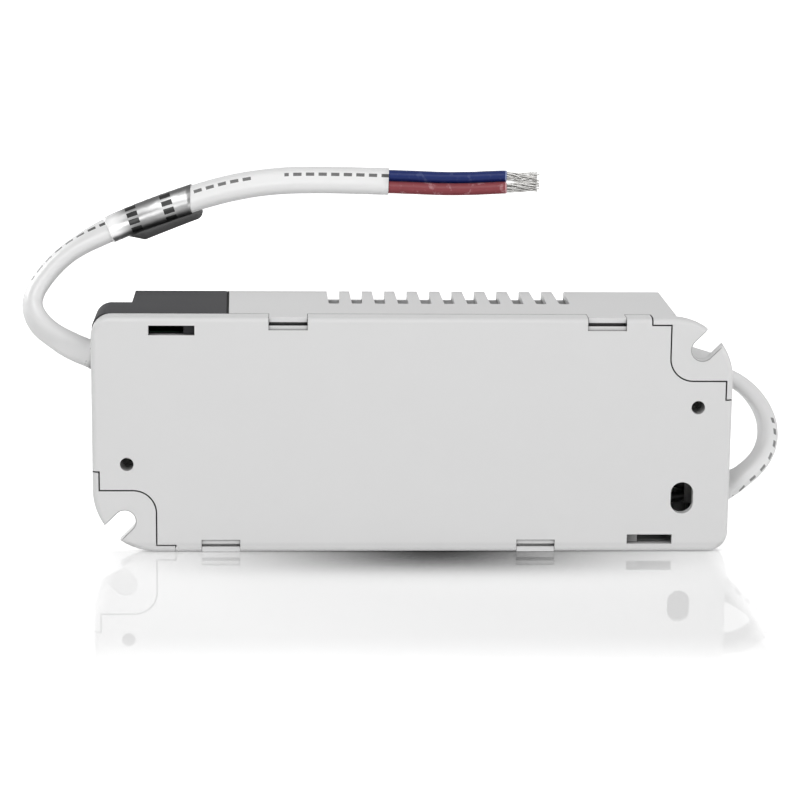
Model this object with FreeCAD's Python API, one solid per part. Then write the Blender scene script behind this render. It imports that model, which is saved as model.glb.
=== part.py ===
import FreeCAD, Part
import math
import os

# LED driver in a two-part snap housing with two short leads.
# It stands on a long side: X runs along the length, Y from the base plate to the far face, Z up.
# The origin is the middle of the long side that it stands on. A depth is measured along Y from the
# outer face of the base plate.

V = FreeCAD.Vector
UP = V(0, 0, 1)
ALONG_DEPTH = V(0, 1, 0)
ALONG_LENGTH = V(1, 0, 0)

# Driving sizes of the housing, in millimetres
length = 132.0
width = 49.5
depth = 33.0
wall = 1.5
roof = 1.5
corner_round = 3.4
roof_edge_round = 2.0
front_edge_round = 1.15
seam = 0.3

# Base tray
plate = 1.8
rim_depth = 4.1
rim_wall = 1.5
tray_corner_round = 4.1
rib_height = 2.2
rib_width = 1.0

# Mounting ears and the recess behind each
ear_size = 13.0
ear_thickness = 3.0
ear_outer_round = 13.0
ear_inner_round = 4.6
ear_slot_width = 4.5
ear_slot_inset = 6.6
ear_slot_edge_round = 0.4
recess_wall = 1.2
tongue = 1.3
tongue_end = 16.95
partition_slope_start = 21.8
partition_slope_run = 5.4

# Vent slots that wrap round the long edges
vent_count = 11
vent_pitch = 4.85
vent_end_inset = 33.65
vent_width_low = 2.15
vent_width_high = 2.75
vent_start = 16.2
vent_reach = 2.1
vent_corner_round = 0.5

# Terminal covers
cover_length = 27.9
cover_gap = 0.5
seam_slant = 0.6
low_length = 7.6
low_depth = 19.4
low_roof = 1.6
low_edge_round = 2.4
cover_leg_width = 2.3
cover_leg_inset = 18.9
cover_leg_tip = 1.45
cover_lip_length = 1.2
cover_lip_thickness = 1.0

# Holes and notches of the base tray, placed from the nearest end and long side
catch_hole_length = 9.4
catch_hole_height = 2.0
catch_hole_inset = 16.5
catch_hole_edge = 2.75
notch_length = 8.0
notch_height = 1.75
notch_near_inset = 40.25
notch_far_inset = 26.4
ledge_height = 0.9
ledge_depth = 0.3
snap_thickness = 1.05
snap_recess = 0.5
snap_side_gap = 0.1
barb_reach = 1.1
barb_length = 1.8
lip_gap = 6.0
pin_hole_diameter = 2.8
pin_hole_depth = 5.0
pin_hole_inset = 7.15
pin_hole_rise = 18.7
oval_width = 4.7
oval_height = 6.7
oval_inset = 9.95
oval_rise = 11.6

# Screws and bosses
boss_diameter = 6.0
screw_shank = 2.4
cover_screw_head = 5.4
cover_screw_head_height = 2.0
cover_screw_length = 10.0
cover_screw_clearance = 0.4
screw_well = 6.8
clamp_screw_head = 4.2
clamp_screw_head_height = 1.5
clamp_screw_length = 8.0
clamp_screw_pitch = 10.6
driver_slot_width = 0.8
driver_slot_depth = 0.7

# Circuit board and the sheet under it
sheet_thickness = 0.4
board_depth = 5.4
board_thickness = 1.6
board_inset = 11.5
board_edge = 3.9
board_ear_gap = 2.0
post_diameter = 4.4
post_inset = 21.0
post_edge = 6.4
post_clearance = 0.4
bulkhead_lift = 1.0
press_rib_inset = 8.7
press_rib_width = 1.2
press_rib_reach = 4.6
seat_gap = 0.1

# Leads: a flat two-core cable
cord_width = 5.8
cord_thickness = 3.5
core_diameter = 2.5
strand_diameter = 1.35
core_spacing = 2.6
inner_core_diameter = 2.2
core_insertion = 2.6
cord_depth = 11.5
cord_edge = 10.5
cord_opening = 7.8
cord_opening_gap = 0.25
stub_inset = 8.0
cord_exit_reach = 1.2
core_length = 24.4
strand_length = 7.2
core_tilt = math.radians(30)
foil_start = 7.5
foil_length = 17.4
foil_clearance = 0.2
foil_thickness = 0.2
flag_drop = 3.6
flag_thickness = 0.5
clamp_bar = 4.0
clamp_bar_thickness = 1.9
clamp_inset = 4.6
clamp_width = 15.4
clamp_seat_depth = 0.6
clamp_seat_clearance = 0.3
clamp_hole_clearance = 0.2

# Terminal blocks
terminal_length = 10.5
terminal_width = 10.6
terminal_height = 9.0
terminal_inset = 17.8
terminal_pitch = 5.0
terminal_step_width = 1.5
terminal_step_height = 1.6
terminal_entry_depth = 5.0
terminal_entry_clearance = 0.6
terminal_well_floor = 4.6
terminal_well_radius = 1.9
terminal_screw_radius = 1.7
terminal_screw_shift = 1.2
terminal_screw_sink = 1.2
terminal_screw_slot = 0.6

# Components on the board: each size is (along X, across Z, height)
component_edge = 4.9
fuse_diameter = 4.4
fuse_length = 10.0
fuse_clip_width = 2.2
varistor_radius = 4.6
varistor_thickness = 3.6
suppressor_size = (14.0, 6.5, 13.0)
choke_radius = 6.3
choke_height = 7.4
bridge_size = (15.0, 3.6, 11.0)
film_capacitor_size = (7.5, 6.5, 11.0)
bulk_capacitor_radius = 5.0
bulk_capacitor_height = 19.5
transformer_size = (19.0, 16.0, 4.8)
transformer_leg = 4.8
transformer_winding_size = (12.4, 11.0, 12.4)
transformer_axis_height = 8.4
inductor_size = (13.0, 13.0, 3.8)
inductor_leg = 3.8
inductor_winding_size = (8.2, 9.0, 9.2)
inductor_axis_height = 6.8
output_capacitor_radius = 3.6
output_capacitor_height = 15.0
heatsink_length = 28.0
heatsink_height = 20.0
heatsink_fold = 5.0
heatsink_plate = 1.5
safety_capacitor_radius = 3.6
safety_capacitor_thickness = 3.2
optocoupler_size = (4.6, 6.4, 3.4)
optocoupler_lift = 0.6
chip_size = (5.0, 4.0, 1.4)
package_width = 10.0
package_body_height = 9.0
package_body_thickness = 3.2
package_tab_height = 15.0
package_tab_thickness = 1.2
package_tab_hole = 3.5
package_tab_hole_height = 15.4
package_lift = 3.0
package_pin_pitch = 2.54
package_spacing = 12.8
pin_thickness = 0.7
can_bevel = 0.6
can_groove_width = 0.8
can_groove_depth = 0.4
box_bevel = 0.6
box_foot_height = 0.5
disc_lift = 1.5
bridge_lift = 2.4
bridge_bevel = 2.2
bobbin_gap = 0.15
bobbin_wall = 0.6
bobbin_flange = 0.7
winding_round = 1.6
group_inset = 8.1

# Places that follow from the sizes above
half_length = length / 2
mid_z = width / 2
left_end = -half_length
bay_end = half_length - cover_length - wall
board_top_depth = board_depth + board_thickness
wall_foot = rim_depth + seam
ceiling = depth - roof
cord_z = width - cord_edge
clamp_x = half_length - clamp_inset
terminal_x = half_length - terminal_inset
stub_start = half_length - stub_inset


def at(d):
    return d - depth / 2


def box(x0, x1, d0, d1, z0, z1):
    return Part.makeBox(x1 - x0, d1 - d0, z1 - z0, V(x0, at(d0), z0))


def drum(x, z, d0, d1, radius):
    return Part.makeCylinder(radius, d1 - d0, V(x, at(d0), z), ALONG_DEPTH)


def turned(shape):
    other = shape.copy()
    other.rotate(V(0, 0, mid_z), ALONG_DEPTH, 180)
    return other


def fuse_all(shapes):
    whole = shapes[0]
    for shape in shapes[1:]:
        whole = whole.fuse(shape)
    return whole.removeSplitter()


def outline(corners, place):
    # closed wire through corners (u, v, radius), with each corner rounded by its own radius
    points = [V(u, v, 0) for u, v, radius in corners]
    count = len(points)
    starts = []
    ends = []
    middles = []
    for i, (u, v, radius) in enumerate(corners):
        back = points[i - 1].sub(points[i])
        ahead = points[(i + 1) % count].sub(points[i])
        back.normalize()
        ahead.normalize()
        half = back.getAngle(ahead) / 2
        cut = radius / math.tan(half) if radius else 0
        starts.append(points[i] + back * cut)
        ends.append(points[i] + ahead * cut)
        toward = back + ahead
        if radius:
            toward.normalize()
            middles.append(points[i] + toward * (radius / math.sin(half) - radius))
        else:
            middles.append(points[i])
    edges = []
    for i, (u, v, radius) in enumerate(corners):
        if radius:
            edges.append(Part.Arc(place(starts[i]), place(middles[i]), place(ends[i])).toShape())
        following = (i + 1) % count
        if ends[i].distanceToPoint(starts[following]) > 1e-6:
            edges.append(Part.LineSegment(place(ends[i]), place(starts[following])).toShape())
    return Part.Wire(edges)


def slab(corners, d0, d1):
    # outline in the XZ plane, thickened from depth d0 to depth d1
    wire = outline(corners, lambda p: V(p.x, at(d0), p.y))
    return Part.Face(wire).extrude(ALONG_DEPTH * (d1 - d0))


def side_slab(corners, z0, z1):
    # outline of (x, depth, radius) corners, thickened from height z0 to height z1
    wire = outline(corners, lambda p: V(p.x, at(p.y), z0))
    return Part.Face(wire).extrude(UP * (z1 - z0))


def end_slab(corners, x0, x1):
    # outline of (z, depth, radius) corners, thickened from x0 to x1
    wire = outline(corners, lambda p: V(x0, at(p.y), p.x))
    return Part.Face(wire).extrude(ALONG_LENGTH * (x1 - x0))


def edges_where(shape, test):
    return [edge for edge in shape.Edges if test(edge.BoundBox)]


def ear_path(clear):
    # lower left parting line between ear and tray, moved away from the ear by clear
    return [
        (left_end + tongue_end + clear, None, 0),
        (left_end + tongue_end + clear, tongue + clear, 0),
        (left_end + ear_size + clear, tongue + clear, 0),
        (left_end + ear_size + clear, ear_size + clear, ear_inner_round + clear),
        (left_end + tongue + clear, ear_size + clear, 0),
        (left_end + tongue + clear, tongue_end + clear, 0),
        (None, tongue_end + clear, 0),
    ]


def tray_outline(inset):
    # the tray's plan: a rectangle with two rounded corners and the two ear steps
    path = []
    for x, z, radius in reversed(ear_path(seam + inset)):
        path.append((left_end + inset if x is None else x, inset if z is None else z, radius))
    half = path + [(half_length - inset, inset, tray_corner_round - inset)]
    return half + [(-x, width - z, radius) for x, z, radius in half]


def tube_path(points, name):
    # straight runs joined by tangent arcs, each as large as its two runs allow
    path = [V(*p) for p in points]
    edges = []
    radii = []
    start = path[0]
    for i in range(1, len(path) - 1):
        back = path[i - 1].sub(path[i])
        ahead = path[i + 1].sub(path[i])
        cut = 0.45 * min(back.Length, ahead.Length)
        back.normalize()
        ahead.normalize()
        turn = math.pi - back.getAngle(ahead)
        radius = cut / math.tan(turn / 2)
        radii.append(round(radius, 1))
        toward = back + ahead
        toward.normalize()
        reach = radius / math.cos(turn / 2) - radius
        entry = path[i] + back * cut
        leave = path[i] + ahead * cut
        edges.append(Part.LineSegment(start, entry).toShape())
        edges.append(Part.Arc(entry, path[i] + toward * reach, leave).toShape())
        start = leave
    edges.append(Part.LineSegment(start, path[-1]).toShape())
    print(name, "bend radii", radii)
    return Part.Wire(edges)


def tube(points, diameter, name):
    path = tube_path(points, name)
    first = V(*points[1]).sub(V(*points[0]))
    ring = Part.Wire(Part.Circle(V(*points[0]), first, diameter / 2).toShape())
    solid = path.makePipeShell([ring], True, True)
    ideal = math.pi * (diameter / 2) ** 2 * path.Length
    print(name, "length", round(path.Length, 1), "volume share", round(solid.Volume / ideal, 4))
    return solid


def save(name, shape):
    shape.exportStep("parts/" + name + ".step")
    print(name, "solids", len(shape.Solids), "valid", shape.isValid())


def at_both_ends(x, z):
    # a place near the left end and the same place with the housing turned half round
    return [(x, z), (-x, width - z)]


# Base tray
boss_x = left_end + pin_hole_inset
boss_z = pin_hole_rise
catch_x = left_end + catch_hole_inset
catch_z = width - catch_hole_edge
notch_places = (left_end + notch_near_inset, half_length - notch_far_inset)
boss_top = low_depth - low_roof - seat_gap
cable_under = cord_depth - cord_thickness / 2
cable_over = cord_depth + cord_thickness / 2
end_inside = left_end + wall


def tray_end():
    # what the tray carries at its left end, above the plate
    pieces = [drum(boss_x, boss_z, plate - seam, boss_top, boss_diameter / 2)]
    saddle_foot = plate - seam
    pieces.append(box(-clamp_x - clamp_bar / 2, -clamp_x + clamp_bar / 2, saddle_foot,
                      cable_under - seat_gap, cord_z - clamp_width / 2, cord_z + clamp_width / 2))
    side = cord_opening / 2 - cord_opening_gap
    pieces.append(box(left_end, end_inside, rim_depth - seam, cable_under - cord_opening_gap,
                      cord_z - side, cord_z + side))
    return pieces


def tray_ribs():
    top = plate + rib_height
    foot = plate - seam
    edge = board_edge + post_edge
    ribs = []
    for z in (mid_z - 10.5, mid_z + 10.5):
        ribs.append(box(catch_x, -catch_x, foot, top, z - rib_width / 2, z + rib_width / 2))
    for x in (-bay_end + press_rib_inset, 0, bay_end - press_rib_inset):
        ribs.append(box(x - rib_width / 2, x + rib_width / 2, foot, top, edge, width - edge))
    return ribs


def post_places():
    low = board_edge + post_edge / 2
    across = (left_end + post_inset, 0, half_length - post_inset)
    return [(x, z) for x in across for z in (low, width - low)]


def make_tray():
    tray = slab(tray_outline(0), 0, rim_depth)
    tol = 0.01

    def outer_front(b):
        if b.YMax > at(0) + tol:
            return False
        low = tray_corner_round + tol
        on_end = b.XMax < left_end + low or b.XMin > half_length - low
        on_side = b.ZMax < low or b.ZMin > width - low
        flat_end = b.XLength < tol and (b.XMax < left_end + tol or b.XMin > half_length - tol)
        flat_side = b.ZLength < tol and (b.ZMax < tol or b.ZMin > width - tol)
        return flat_end or flat_side or (on_end and on_side and b.XLength > 1 and b.ZLength > 1)

    tray = tray.makeFillet(front_edge_round, edges_where(tray, outer_front))
    hollow = slab(tray_outline(rim_wall), plate, rim_depth + 1)
    tray = tray.cut(hollow)
    added = tray_ribs() + tray_end() + [turned(piece) for piece in tray_end()]
    for x, z in post_places():
        added.append(drum(x, z, plate - seam, board_depth, post_diameter / 2))
    tray = fuse_all([tray] + added)
    cuts = [slab(oval_corners(), -1, plate + 1)]
    for x, z in at_both_ends(boss_x, boss_z):
        cuts.append(drum(x, z, -1, pin_hole_depth, pin_hole_diameter / 2))
        cuts.append(drum(x, z, 0, boss_top + 1, screw_shank / 2 + seat_gap / 2))
    for x, z in at_both_ends(catch_x, catch_z):
        cuts.append(box(x - catch_hole_length / 2, x + catch_hole_length / 2, -1, plate + 1,
                        z - catch_hole_height / 2, z + catch_hole_height / 2))
    for x in notch_places:
        notch = box(x - notch_length / 2, x + notch_length / 2, -1, rim_depth + 1,
                    width - notch_height, width + 1)
        ledge = box(x - notch_length / 2, x + notch_length / 2, -1, ledge_depth,
                    width - notch_height - ledge_height, width)
        cuts += [notch, ledge, turned(notch), turned(ledge)]
    for z in (cord_z - clamp_screw_pitch / 2, cord_z + clamp_screw_pitch / 2):
        pilot = drum(-clamp_x, z, plate, cable_under + 1, screw_shank / 2 + seat_gap / 2)
        cuts += [pilot, turned(pilot)]
    for cut in cuts:
        tray = tray.cut(cut)
    return tray


def oval_corners():
    half_w = oval_width / 2
    half_h = oval_height / 2
    x = half_length - oval_inset
    z = oval_rise
    radius = half_w - 0.01
    return [(x - half_w, z - half_h, radius), (x + half_w, z - half_h, radius),
            (x + half_w, z + half_h, radius), (x - half_w, z + half_h, radius)]


# Upper housing
def outer_block():
    rectangle = [(left_end, 0, 0), (half_length, 0, corner_round), (half_length, width, 0),
                 (left_end, width, corner_round)]
    return slab(rectangle, wall_foot, depth)


def recess_corners():
    inner = ear_size - recess_wall
    return [(left_end - 1, -1, 0), (left_end + inner, -1, 0),
            (left_end + inner, inner, ear_inner_round - recess_wall), (left_end - 1, inner, 0)]


def block_with_recesses():
    recess = slab(recess_corners(), ear_thickness, depth + 1)
    block = outer_block().cut(recess).cut(turned(recess))
    top = edges_where(block, lambda b: b.YMin > at(depth) - 0.01)
    return block.makeFillet(roof_edge_round, top)


def make_ear_slot(x, z, d0, d1, grow):
    # open 45 degree slot that runs from its round end out past the corner
    reach = 2 * ear_size
    bar = Part.makeBox(reach, d1 - d0, ear_slot_width + 2 * grow, V(0, 0, -ear_slot_width / 2 - grow))
    bar.rotate(V(0, 0, 0), ALONG_DEPTH, 135)
    bar.translate(V(x, at(d0), z))
    return bar.fuse(drum(x, z, d0, d1, ear_slot_width / 2 + grow))


def make_ear():
    corners = [(left_end, 0, ear_outer_round)]
    for x, z, radius in ear_path(0):
        corners.append((left_end if x is None else x, 0 if z is None else z, radius))
    ear = slab(corners, 0, wall_foot)
    tol = 0.01

    def rim_edge(b):
        if b.YMax > at(0) + tol:
            return False
        flat_end = b.XLength < tol and b.XMax < left_end + tol
        flat_side = b.ZLength < tol and b.ZMax < tol
        arc = b.XLength > ear_outer_round / 2 and b.ZLength > ear_outer_round / 2
        return flat_end or flat_side or (arc and b.XMin < left_end + tol)

    ear = ear.makeFillet(front_edge_round, edges_where(ear, rim_edge))
    x = left_end + ear_slot_inset
    z = ear_slot_inset
    ear = ear.cut(make_ear_slot(x, z, -1, wall_foot + 1, 0))
    bevel = make_ear_slot(x, z, -1, ear_slot_edge_round / 2, ear_slot_edge_round / 2)
    ear = ear.cut(bevel)
    return ear.cut(slab(recess_corners(), ear_thickness, depth))


def chamber(gap, low):
    # the space at the left end that the input cover fills, above a height: it ends in a slanted
    # seam, less a gap
    near = wall_foot - 1
    far = depth + 1
    end = left_end + cover_length - gap
    corners = [(left_end - 1, near, 0), (end + seam_slant * (0.5 - near / depth), near, 0),
               (end + seam_slant * (0.5 - far / depth), far, 0), (left_end - 1, far, 0)]
    return side_slab(corners, low, width + 1)


def partition_cut():
    # slanted end of the wall between the ear recess and the terminal chamber
    corners = [(left_end - 1, partition_slope_start, 0), (left_end, partition_slope_start, 0),
               (left_end + partition_slope_run, depth, 0), (left_end + partition_slope_run, depth + 1, 0),
               (left_end - 1, depth + 1, 0)]
    return side_slab(corners, ear_size - recess_wall - 1, ear_size + 1)


def vent_cutter(x):
    low = vent_width_low / 2
    high = vent_width_high / 2
    corners = [(x - low, vent_start, vent_corner_round), (x + low, vent_start, vent_corner_round),
               (x + high, depth + 1, 0), (x - high, depth + 1, 0)]
    return side_slab(corners, width - vent_reach, width + 1)


def vent_places():
    last = half_length - vent_end_inset
    return [last - i * vent_pitch for i in range(vent_count)]


def snap_tab(x):
    # tab that fills a rim notch from behind and hooks its barb behind the plate
    half = notch_length / 2 - snap_side_gap
    inner = width - snap_thickness
    tab = box(x - half, x + half, snap_recess, wall_foot + 2, inner, width)
    root = box(x - half, x + half, wall_foot, wall_foot + 4, inner - barb_reach, width - wall / 2)
    behind = plate + seat_gap
    barb = end_slab([(inner + 0.1, behind, 0), (inner - barb_reach, behind, 0),
                     (inner + 0.1, behind + barb_length, 0)], x - half, x + half)
    return [tab, root, barb]


def inner_lip():
    # lip that centres the housing inside the tray's rim along the long sides
    pieces = []
    gap = seat_gap + 0.05
    near, far = notch_places
    for x0, x1 in ((near + lip_gap, -lip_gap / 2), (lip_gap / 2, far - lip_gap)):
        pieces.append(box(x0, x1, rim_depth - 1.5, wall_foot + 2, width - rim_wall - 1.0,
                          width - rim_wall - gap))
        pieces.append(box(x0, x1, wall_foot, wall_foot + 2, width - wall - 0.5, width - wall / 2))
    return pieces


def press_ribs():
    # ribs that hold the board down on its posts
    pieces = []
    for x in (-bay_end + press_rib_inset, bay_end - seat_gap):
        pieces.append(box(x - press_rib_width / 2, x + press_rib_width / 2,
                          board_top_depth + seat_gap, ceiling + seam,
                          width - press_rib_reach, width - wall / 2))
    return pieces


def board_corners(grow):
    half = half_length - board_inset + grow
    low = board_edge - grow
    notch_x = left_end + ear_size + board_ear_gap - grow
    notch_z = ear_size + board_ear_gap - grow
    return [(notch_x, low, 0), (half, low, 0), (half, width - notch_z, 0),
            (-notch_x, width - notch_z, 0), (-notch_x, width - low, 0), (-half, width - low, 0),
            (-half, notch_z, 0), (notch_x, notch_z, 0)]


def make_housing():
    block = block_with_recesses()
    for cut in (chamber(0, ear_size), partition_cut()):
        block = block.cut(cut).cut(turned(cut))
    block = block.cut(box(-bay_end, bay_end, -1, ceiling, wall, width - wall))
    arm = box(left_end + ear_size, 1 - bay_end, -1, ceiling, wall, ear_size - recess_wall)
    block = block.cut(arm).cut(turned(arm))
    board_room = slab(board_corners(0.6), wall_foot - 1, board_top_depth + bulkhead_lift)
    block = block.cut(board_room)
    pieces = [make_ear()]
    pieces += inner_lip() + press_ribs()
    for x in notch_places:
        pieces += snap_tab(x)
    pieces += [turned(piece) for piece in pieces]
    housing = fuse_all([block] + pieces)
    cutters = [vent_cutter(x) for x in vent_places()]
    cutters += [turned(cutter) for cutter in cutters]
    return housing.cut(Part.makeCompound(cutters))


# Terminal covers
def cover_lip():
    # lip inside the cover's inner edge that closes the seam beside the housing
    edge = left_end + cover_length
    foot = board_top_depth + bulkhead_lift
    side = width - wall
    room = box(edge - cover_lip_length, edge + 1, foot, ceiling, ear_size + seam, side)
    hollow = box(edge - cover_lip_length - 1, edge + 2, foot - 1, ceiling - cover_lip_thickness,
                 ear_size, side - cover_lip_thickness)
    return chamber(seat_gap, ear_size + seam).common(room).cut(hollow)


def make_cover():
    # low outer section, step to full height, screw pocket in the step, catch leg and cable opening
    low_end = left_end + low_length
    bottom = ear_size + seam
    inner_end = left_end + cover_length - cover_gap
    high = block_with_recesses().common(box(low_end, 0, wall_foot, depth + 1, bottom, width + 1))
    high = high.common(chamber(cover_gap, bottom))
    low = slab([(left_end, bottom, 0), (low_end + 2, bottom, 0), (low_end + 2, width, 0),
                (left_end, width, corner_round)], wall_foot, low_depth)
    tol = 0.01

    def low_edge(b):
        if b.YMin < at(low_depth) - tol:
            return False
        return b.XMin < left_end + corner_round and not (b.ZLength < tol and b.ZMax < bottom + tol)

    low = low.makeFillet(low_edge_round, edges_where(low, low_edge))
    cover = low.fuse(high)
    inner_low = box(left_end + wall, low_end + wall + 0.5, wall_foot - 1, low_depth - low_roof,
                    bottom - 1, width - wall)
    inner_high = box(low_end + wall, inner_end + 1, wall_foot - 1, ceiling, bottom - 1, width - wall)
    cover = cover.cut(inner_low).cut(inner_high)
    pocket_wall = drum(boss_x, boss_z, low_depth - low_roof, depth - 0.01, screw_well / 2 + wall)
    pocket_wall = pocket_wall.common(box(low_end, inner_end, 0, depth, bottom, width - wall))
    cover = cover.fuse(pocket_wall)
    cover = cover.cut(drum(boss_x, boss_z, low_depth, depth + 1, screw_well / 2))
    cover = cover.cut(drum(boss_x, boss_z, 0, depth, screw_shank / 2 + cover_screw_clearance))
    opening = cord_opening / 2
    cover = cover.cut(end_slab([(cord_z - opening, 0, 0), (cord_z + opening, 0, 0),
                                (cord_z + opening, cable_over + cord_opening_gap, 1.2),
                                (cord_z - opening, cable_over + cord_opening_gap, 1.2)],
                               left_end - 1, left_end + wall + 0.1))
    leg_z = catch_z
    leg_half = catch_hole_height / 2 - seat_gap
    leg_x = left_end + cover_leg_inset
    leg = box(leg_x, leg_x + cover_leg_width, cover_leg_tip, low_depth, leg_z - leg_half,
              leg_z + leg_half)
    leg_root = box(leg_x, leg_x + cover_leg_width, board_top_depth + 1, low_depth,
                   leg_z - leg_half, width - wall / 2)
    return fuse_all([cover, leg, leg_root, cover_lip()])


def pan_screw(x, z, under_head, head, head_height, shank_length):
    # pan head screw whose head lies on the far side and whose shank points at the base plate
    screw = drum(x, z, under_head - shank_length, under_head + 0.2, screw_shank / 2)
    cap = drum(x, z, under_head, under_head + head_height, head / 2)
    top = under_head + head_height
    slot = box(x - head, x + head, top - driver_slot_depth, top + 1,
               z - driver_slot_width / 2, z + driver_slot_width / 2)
    cross = box(x - driver_slot_width / 2, x + driver_slot_width / 2, top - driver_slot_depth, top + 1,
                z - head / 3, z + head / 3)
    short = slot.common(drum(x, z, 0, depth, head / 3))
    return screw.fuse(cap).cut(short).cut(cross).removeSplitter()


def clamp_bar_at_left():
    # bar that presses the cable on the saddle, with a shallow seat over the cable
    bar = box(-clamp_x - clamp_bar / 2, -clamp_x + clamp_bar / 2, cable_over - clamp_seat_depth,
              cable_over + clamp_bar_thickness, cord_z - clamp_width / 2, cord_z + clamp_width / 2)
    seat_half = cord_width / 2 + clamp_seat_clearance
    seat = box(-clamp_x - clamp_bar, -clamp_x + clamp_bar, cable_over - 1, cable_over,
               cord_z - seat_half, cord_z + seat_half)
    bar = bar.cut(seat)
    for z in clamp_screw_heights():
        bar = bar.cut(drum(-clamp_x, z, 0, depth, screw_shank / 2 + clamp_hole_clearance))
    return bar


def clamp_screw_heights():
    return (cord_z - clamp_screw_pitch / 2, cord_z + clamp_screw_pitch / 2)


# Circuit board and what it carries
def on_board(x, z, size_x, size_z, height, lift=0.0):
    return box(x - size_x / 2, x + size_x / 2, board_top_depth + lift, board_top_depth + lift + height,
               z - size_z / 2, z + size_z / 2)


def leads(places, lift, thickness=pin_thickness):
    return [on_board(x, z, thickness, thickness, lift + 0.2) for x, z in places]


def make_board():
    return slab(board_corners(0), board_depth, board_top_depth)


def make_sheet():
    top = plate + rib_height
    sheet = slab(board_corners(0), top, top + sheet_thickness)
    for x, z in post_places():
        sheet = sheet.cut(drum(x, z, 0, depth, post_diameter / 2 + post_clearance))
    return sheet


def make_terminal():
    # two-pole terminal block at the left end, cable entry towards the end wall
    block = on_board(-terminal_x, cord_z, terminal_length, terminal_width, terminal_height)
    end = -terminal_x - terminal_length / 2
    block = block.cut(box(end - 1, end + terminal_length,
                          board_top_depth + terminal_height - terminal_step_height, depth,
                          cord_z + terminal_width / 2 - terminal_step_width, width))
    for z in (cord_z - terminal_pitch / 2, cord_z + terminal_pitch / 2):
        entry = Part.makeCylinder(inner_core_diameter / 2 + terminal_entry_clearance,
                                  terminal_entry_depth, V(end - seat_gap, at(cord_depth), z),
                                  ALONG_LENGTH)
        well = drum(-terminal_x + terminal_screw_shift, z, board_top_depth + terminal_well_floor,
                    depth, terminal_well_radius)
        block = block.cut(entry).cut(well)
    return block


def terminal_screw(z):
    x = -terminal_x + terminal_screw_shift
    top = board_top_depth + terminal_height - terminal_screw_sink
    half = terminal_screw_slot / 2
    head = drum(x, z, board_top_depth + terminal_well_floor, top, terminal_screw_radius)
    return head.cut(box(x - 2, x + 2, top - terminal_screw_slot, top + 1, z - half, z + half))


def can(x, z, radius, height, groove):
    # upright electrolytic capacitor with a rolled groove and a bevelled top edge
    base = board_top_depth
    body = drum(x, z, base, base + height, radius)
    shoulder = base + height - can_bevel
    bevel = Part.makeCone(radius, radius - can_bevel, can_bevel, V(x, at(shoulder), z), ALONG_DEPTH)
    ring = drum(x, z, shoulder, base + height + 1, radius + 1)
    body = body.cut(ring.cut(bevel))
    low = base + groove
    channel = drum(x, z, low, low + can_groove_width, radius + 1)
    channel = channel.cut(drum(x, z, low, low + can_groove_width, radius - can_groove_depth))
    return body.cut(channel)


def boxed(x, z, size_x, size_z, height):
    # boxed film capacitor with bevelled vertical edges and two shallow feet
    body = on_board(x, z, size_x, size_z, height)
    upright = [e for e in body.Edges if e.BoundBox.YLength > height - 0.01]
    body = body.makeChamfer(box_bevel, upright)
    return body.cut(on_board(x, z, size_x - 3, size_z + 1, box_foot_height))


def disc(x, z, radius, thickness, along_x, lift):
    # dipped disc part that stands on two leads
    centre = V(x, at(board_top_depth + lift + radius), z)
    axis = ALONG_LENGTH if along_x else UP
    body = Part.makeCylinder(radius, thickness, centre - axis * (thickness / 2), axis)
    rims = [e for e in body.Edges if e.Curve.TypeId == "Part::GeomCircle"]
    body = body.makeChamfer(thickness * 0.22, rims)
    reach = radius * 0.5
    ends = [(x, z - reach), (x, z + reach)] if along_x else [(x - reach, z), (x + reach, z)]
    return fuse_all([body] + leads(ends, lift + radius * 0.3))


def wound(x, z, core, leg, wire, middle):
    # E-core on its bobbin, with the winding round the middle leg along X. core is (x, z, height), wire
    # is (length, across, height) and middle is the height of the middle leg's axis
    core_x, core_z, core_h = core
    wire_length, wire_z, wire_h = wire
    low = middle - core_h / 2
    window = (core_z - 2 * leg) / 2
    side = leg / 2 + window / 2
    block = on_board(x, z, core_x, core_z, core_h, low)
    for sign in (-1, 1):
        block = block.cut(on_board(x, z + sign * side, wire_length + 2, window, core_h + 2, low - 1))
    hub_z = leg + 2 * bobbin_gap
    hub_h = core_h + 2 * bobbin_gap
    sleeve_z = hub_z + 2 * bobbin_wall
    sleeve_h = hub_h + 2 * bobbin_wall
    sleeve = on_board(x, z, wire_length, sleeve_z, sleeve_h, middle - sleeve_h / 2)
    flange_z = wire_z + 0.2
    flange_h = wire_h + 1.2
    foot_h = middle - core_h / 2 - seat_gap
    pieces = [sleeve]
    for sign in (-1, 1):
        flange_x = x + sign * (wire_length + bobbin_flange) / 2
        pieces.append(on_board(flange_x, z, bobbin_flange, flange_z, flange_h, middle - flange_h / 2))
        foot_length = core_x / 2 - wire_length / 2
        foot_x = x + sign * (wire_length / 2 + foot_length / 2)
        pieces.append(on_board(foot_x, z, foot_length, flange_z, foot_h))
    bobbin = fuse_all(pieces)
    bobbin = bobbin.cut(on_board(x, z, core_x + 2, hub_z, hub_h, middle - hub_h / 2))
    winding = on_board(x, z, wire_length - seat_gap, wire_z, wire_h, middle - wire_h / 2)
    lengthwise = [e for e in winding.Edges if e.BoundBox.XLength > wire_length - 2 * seat_gap]
    winding = winding.makeFillet(winding_round, lengthwise)
    winding = winding.cut(on_board(x, z, wire_length + 1, sleeve_z + seat_gap, sleeve_h + seat_gap,
                                   middle - (sleeve_h + seat_gap) / 2))
    return block, bobbin, winding


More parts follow.
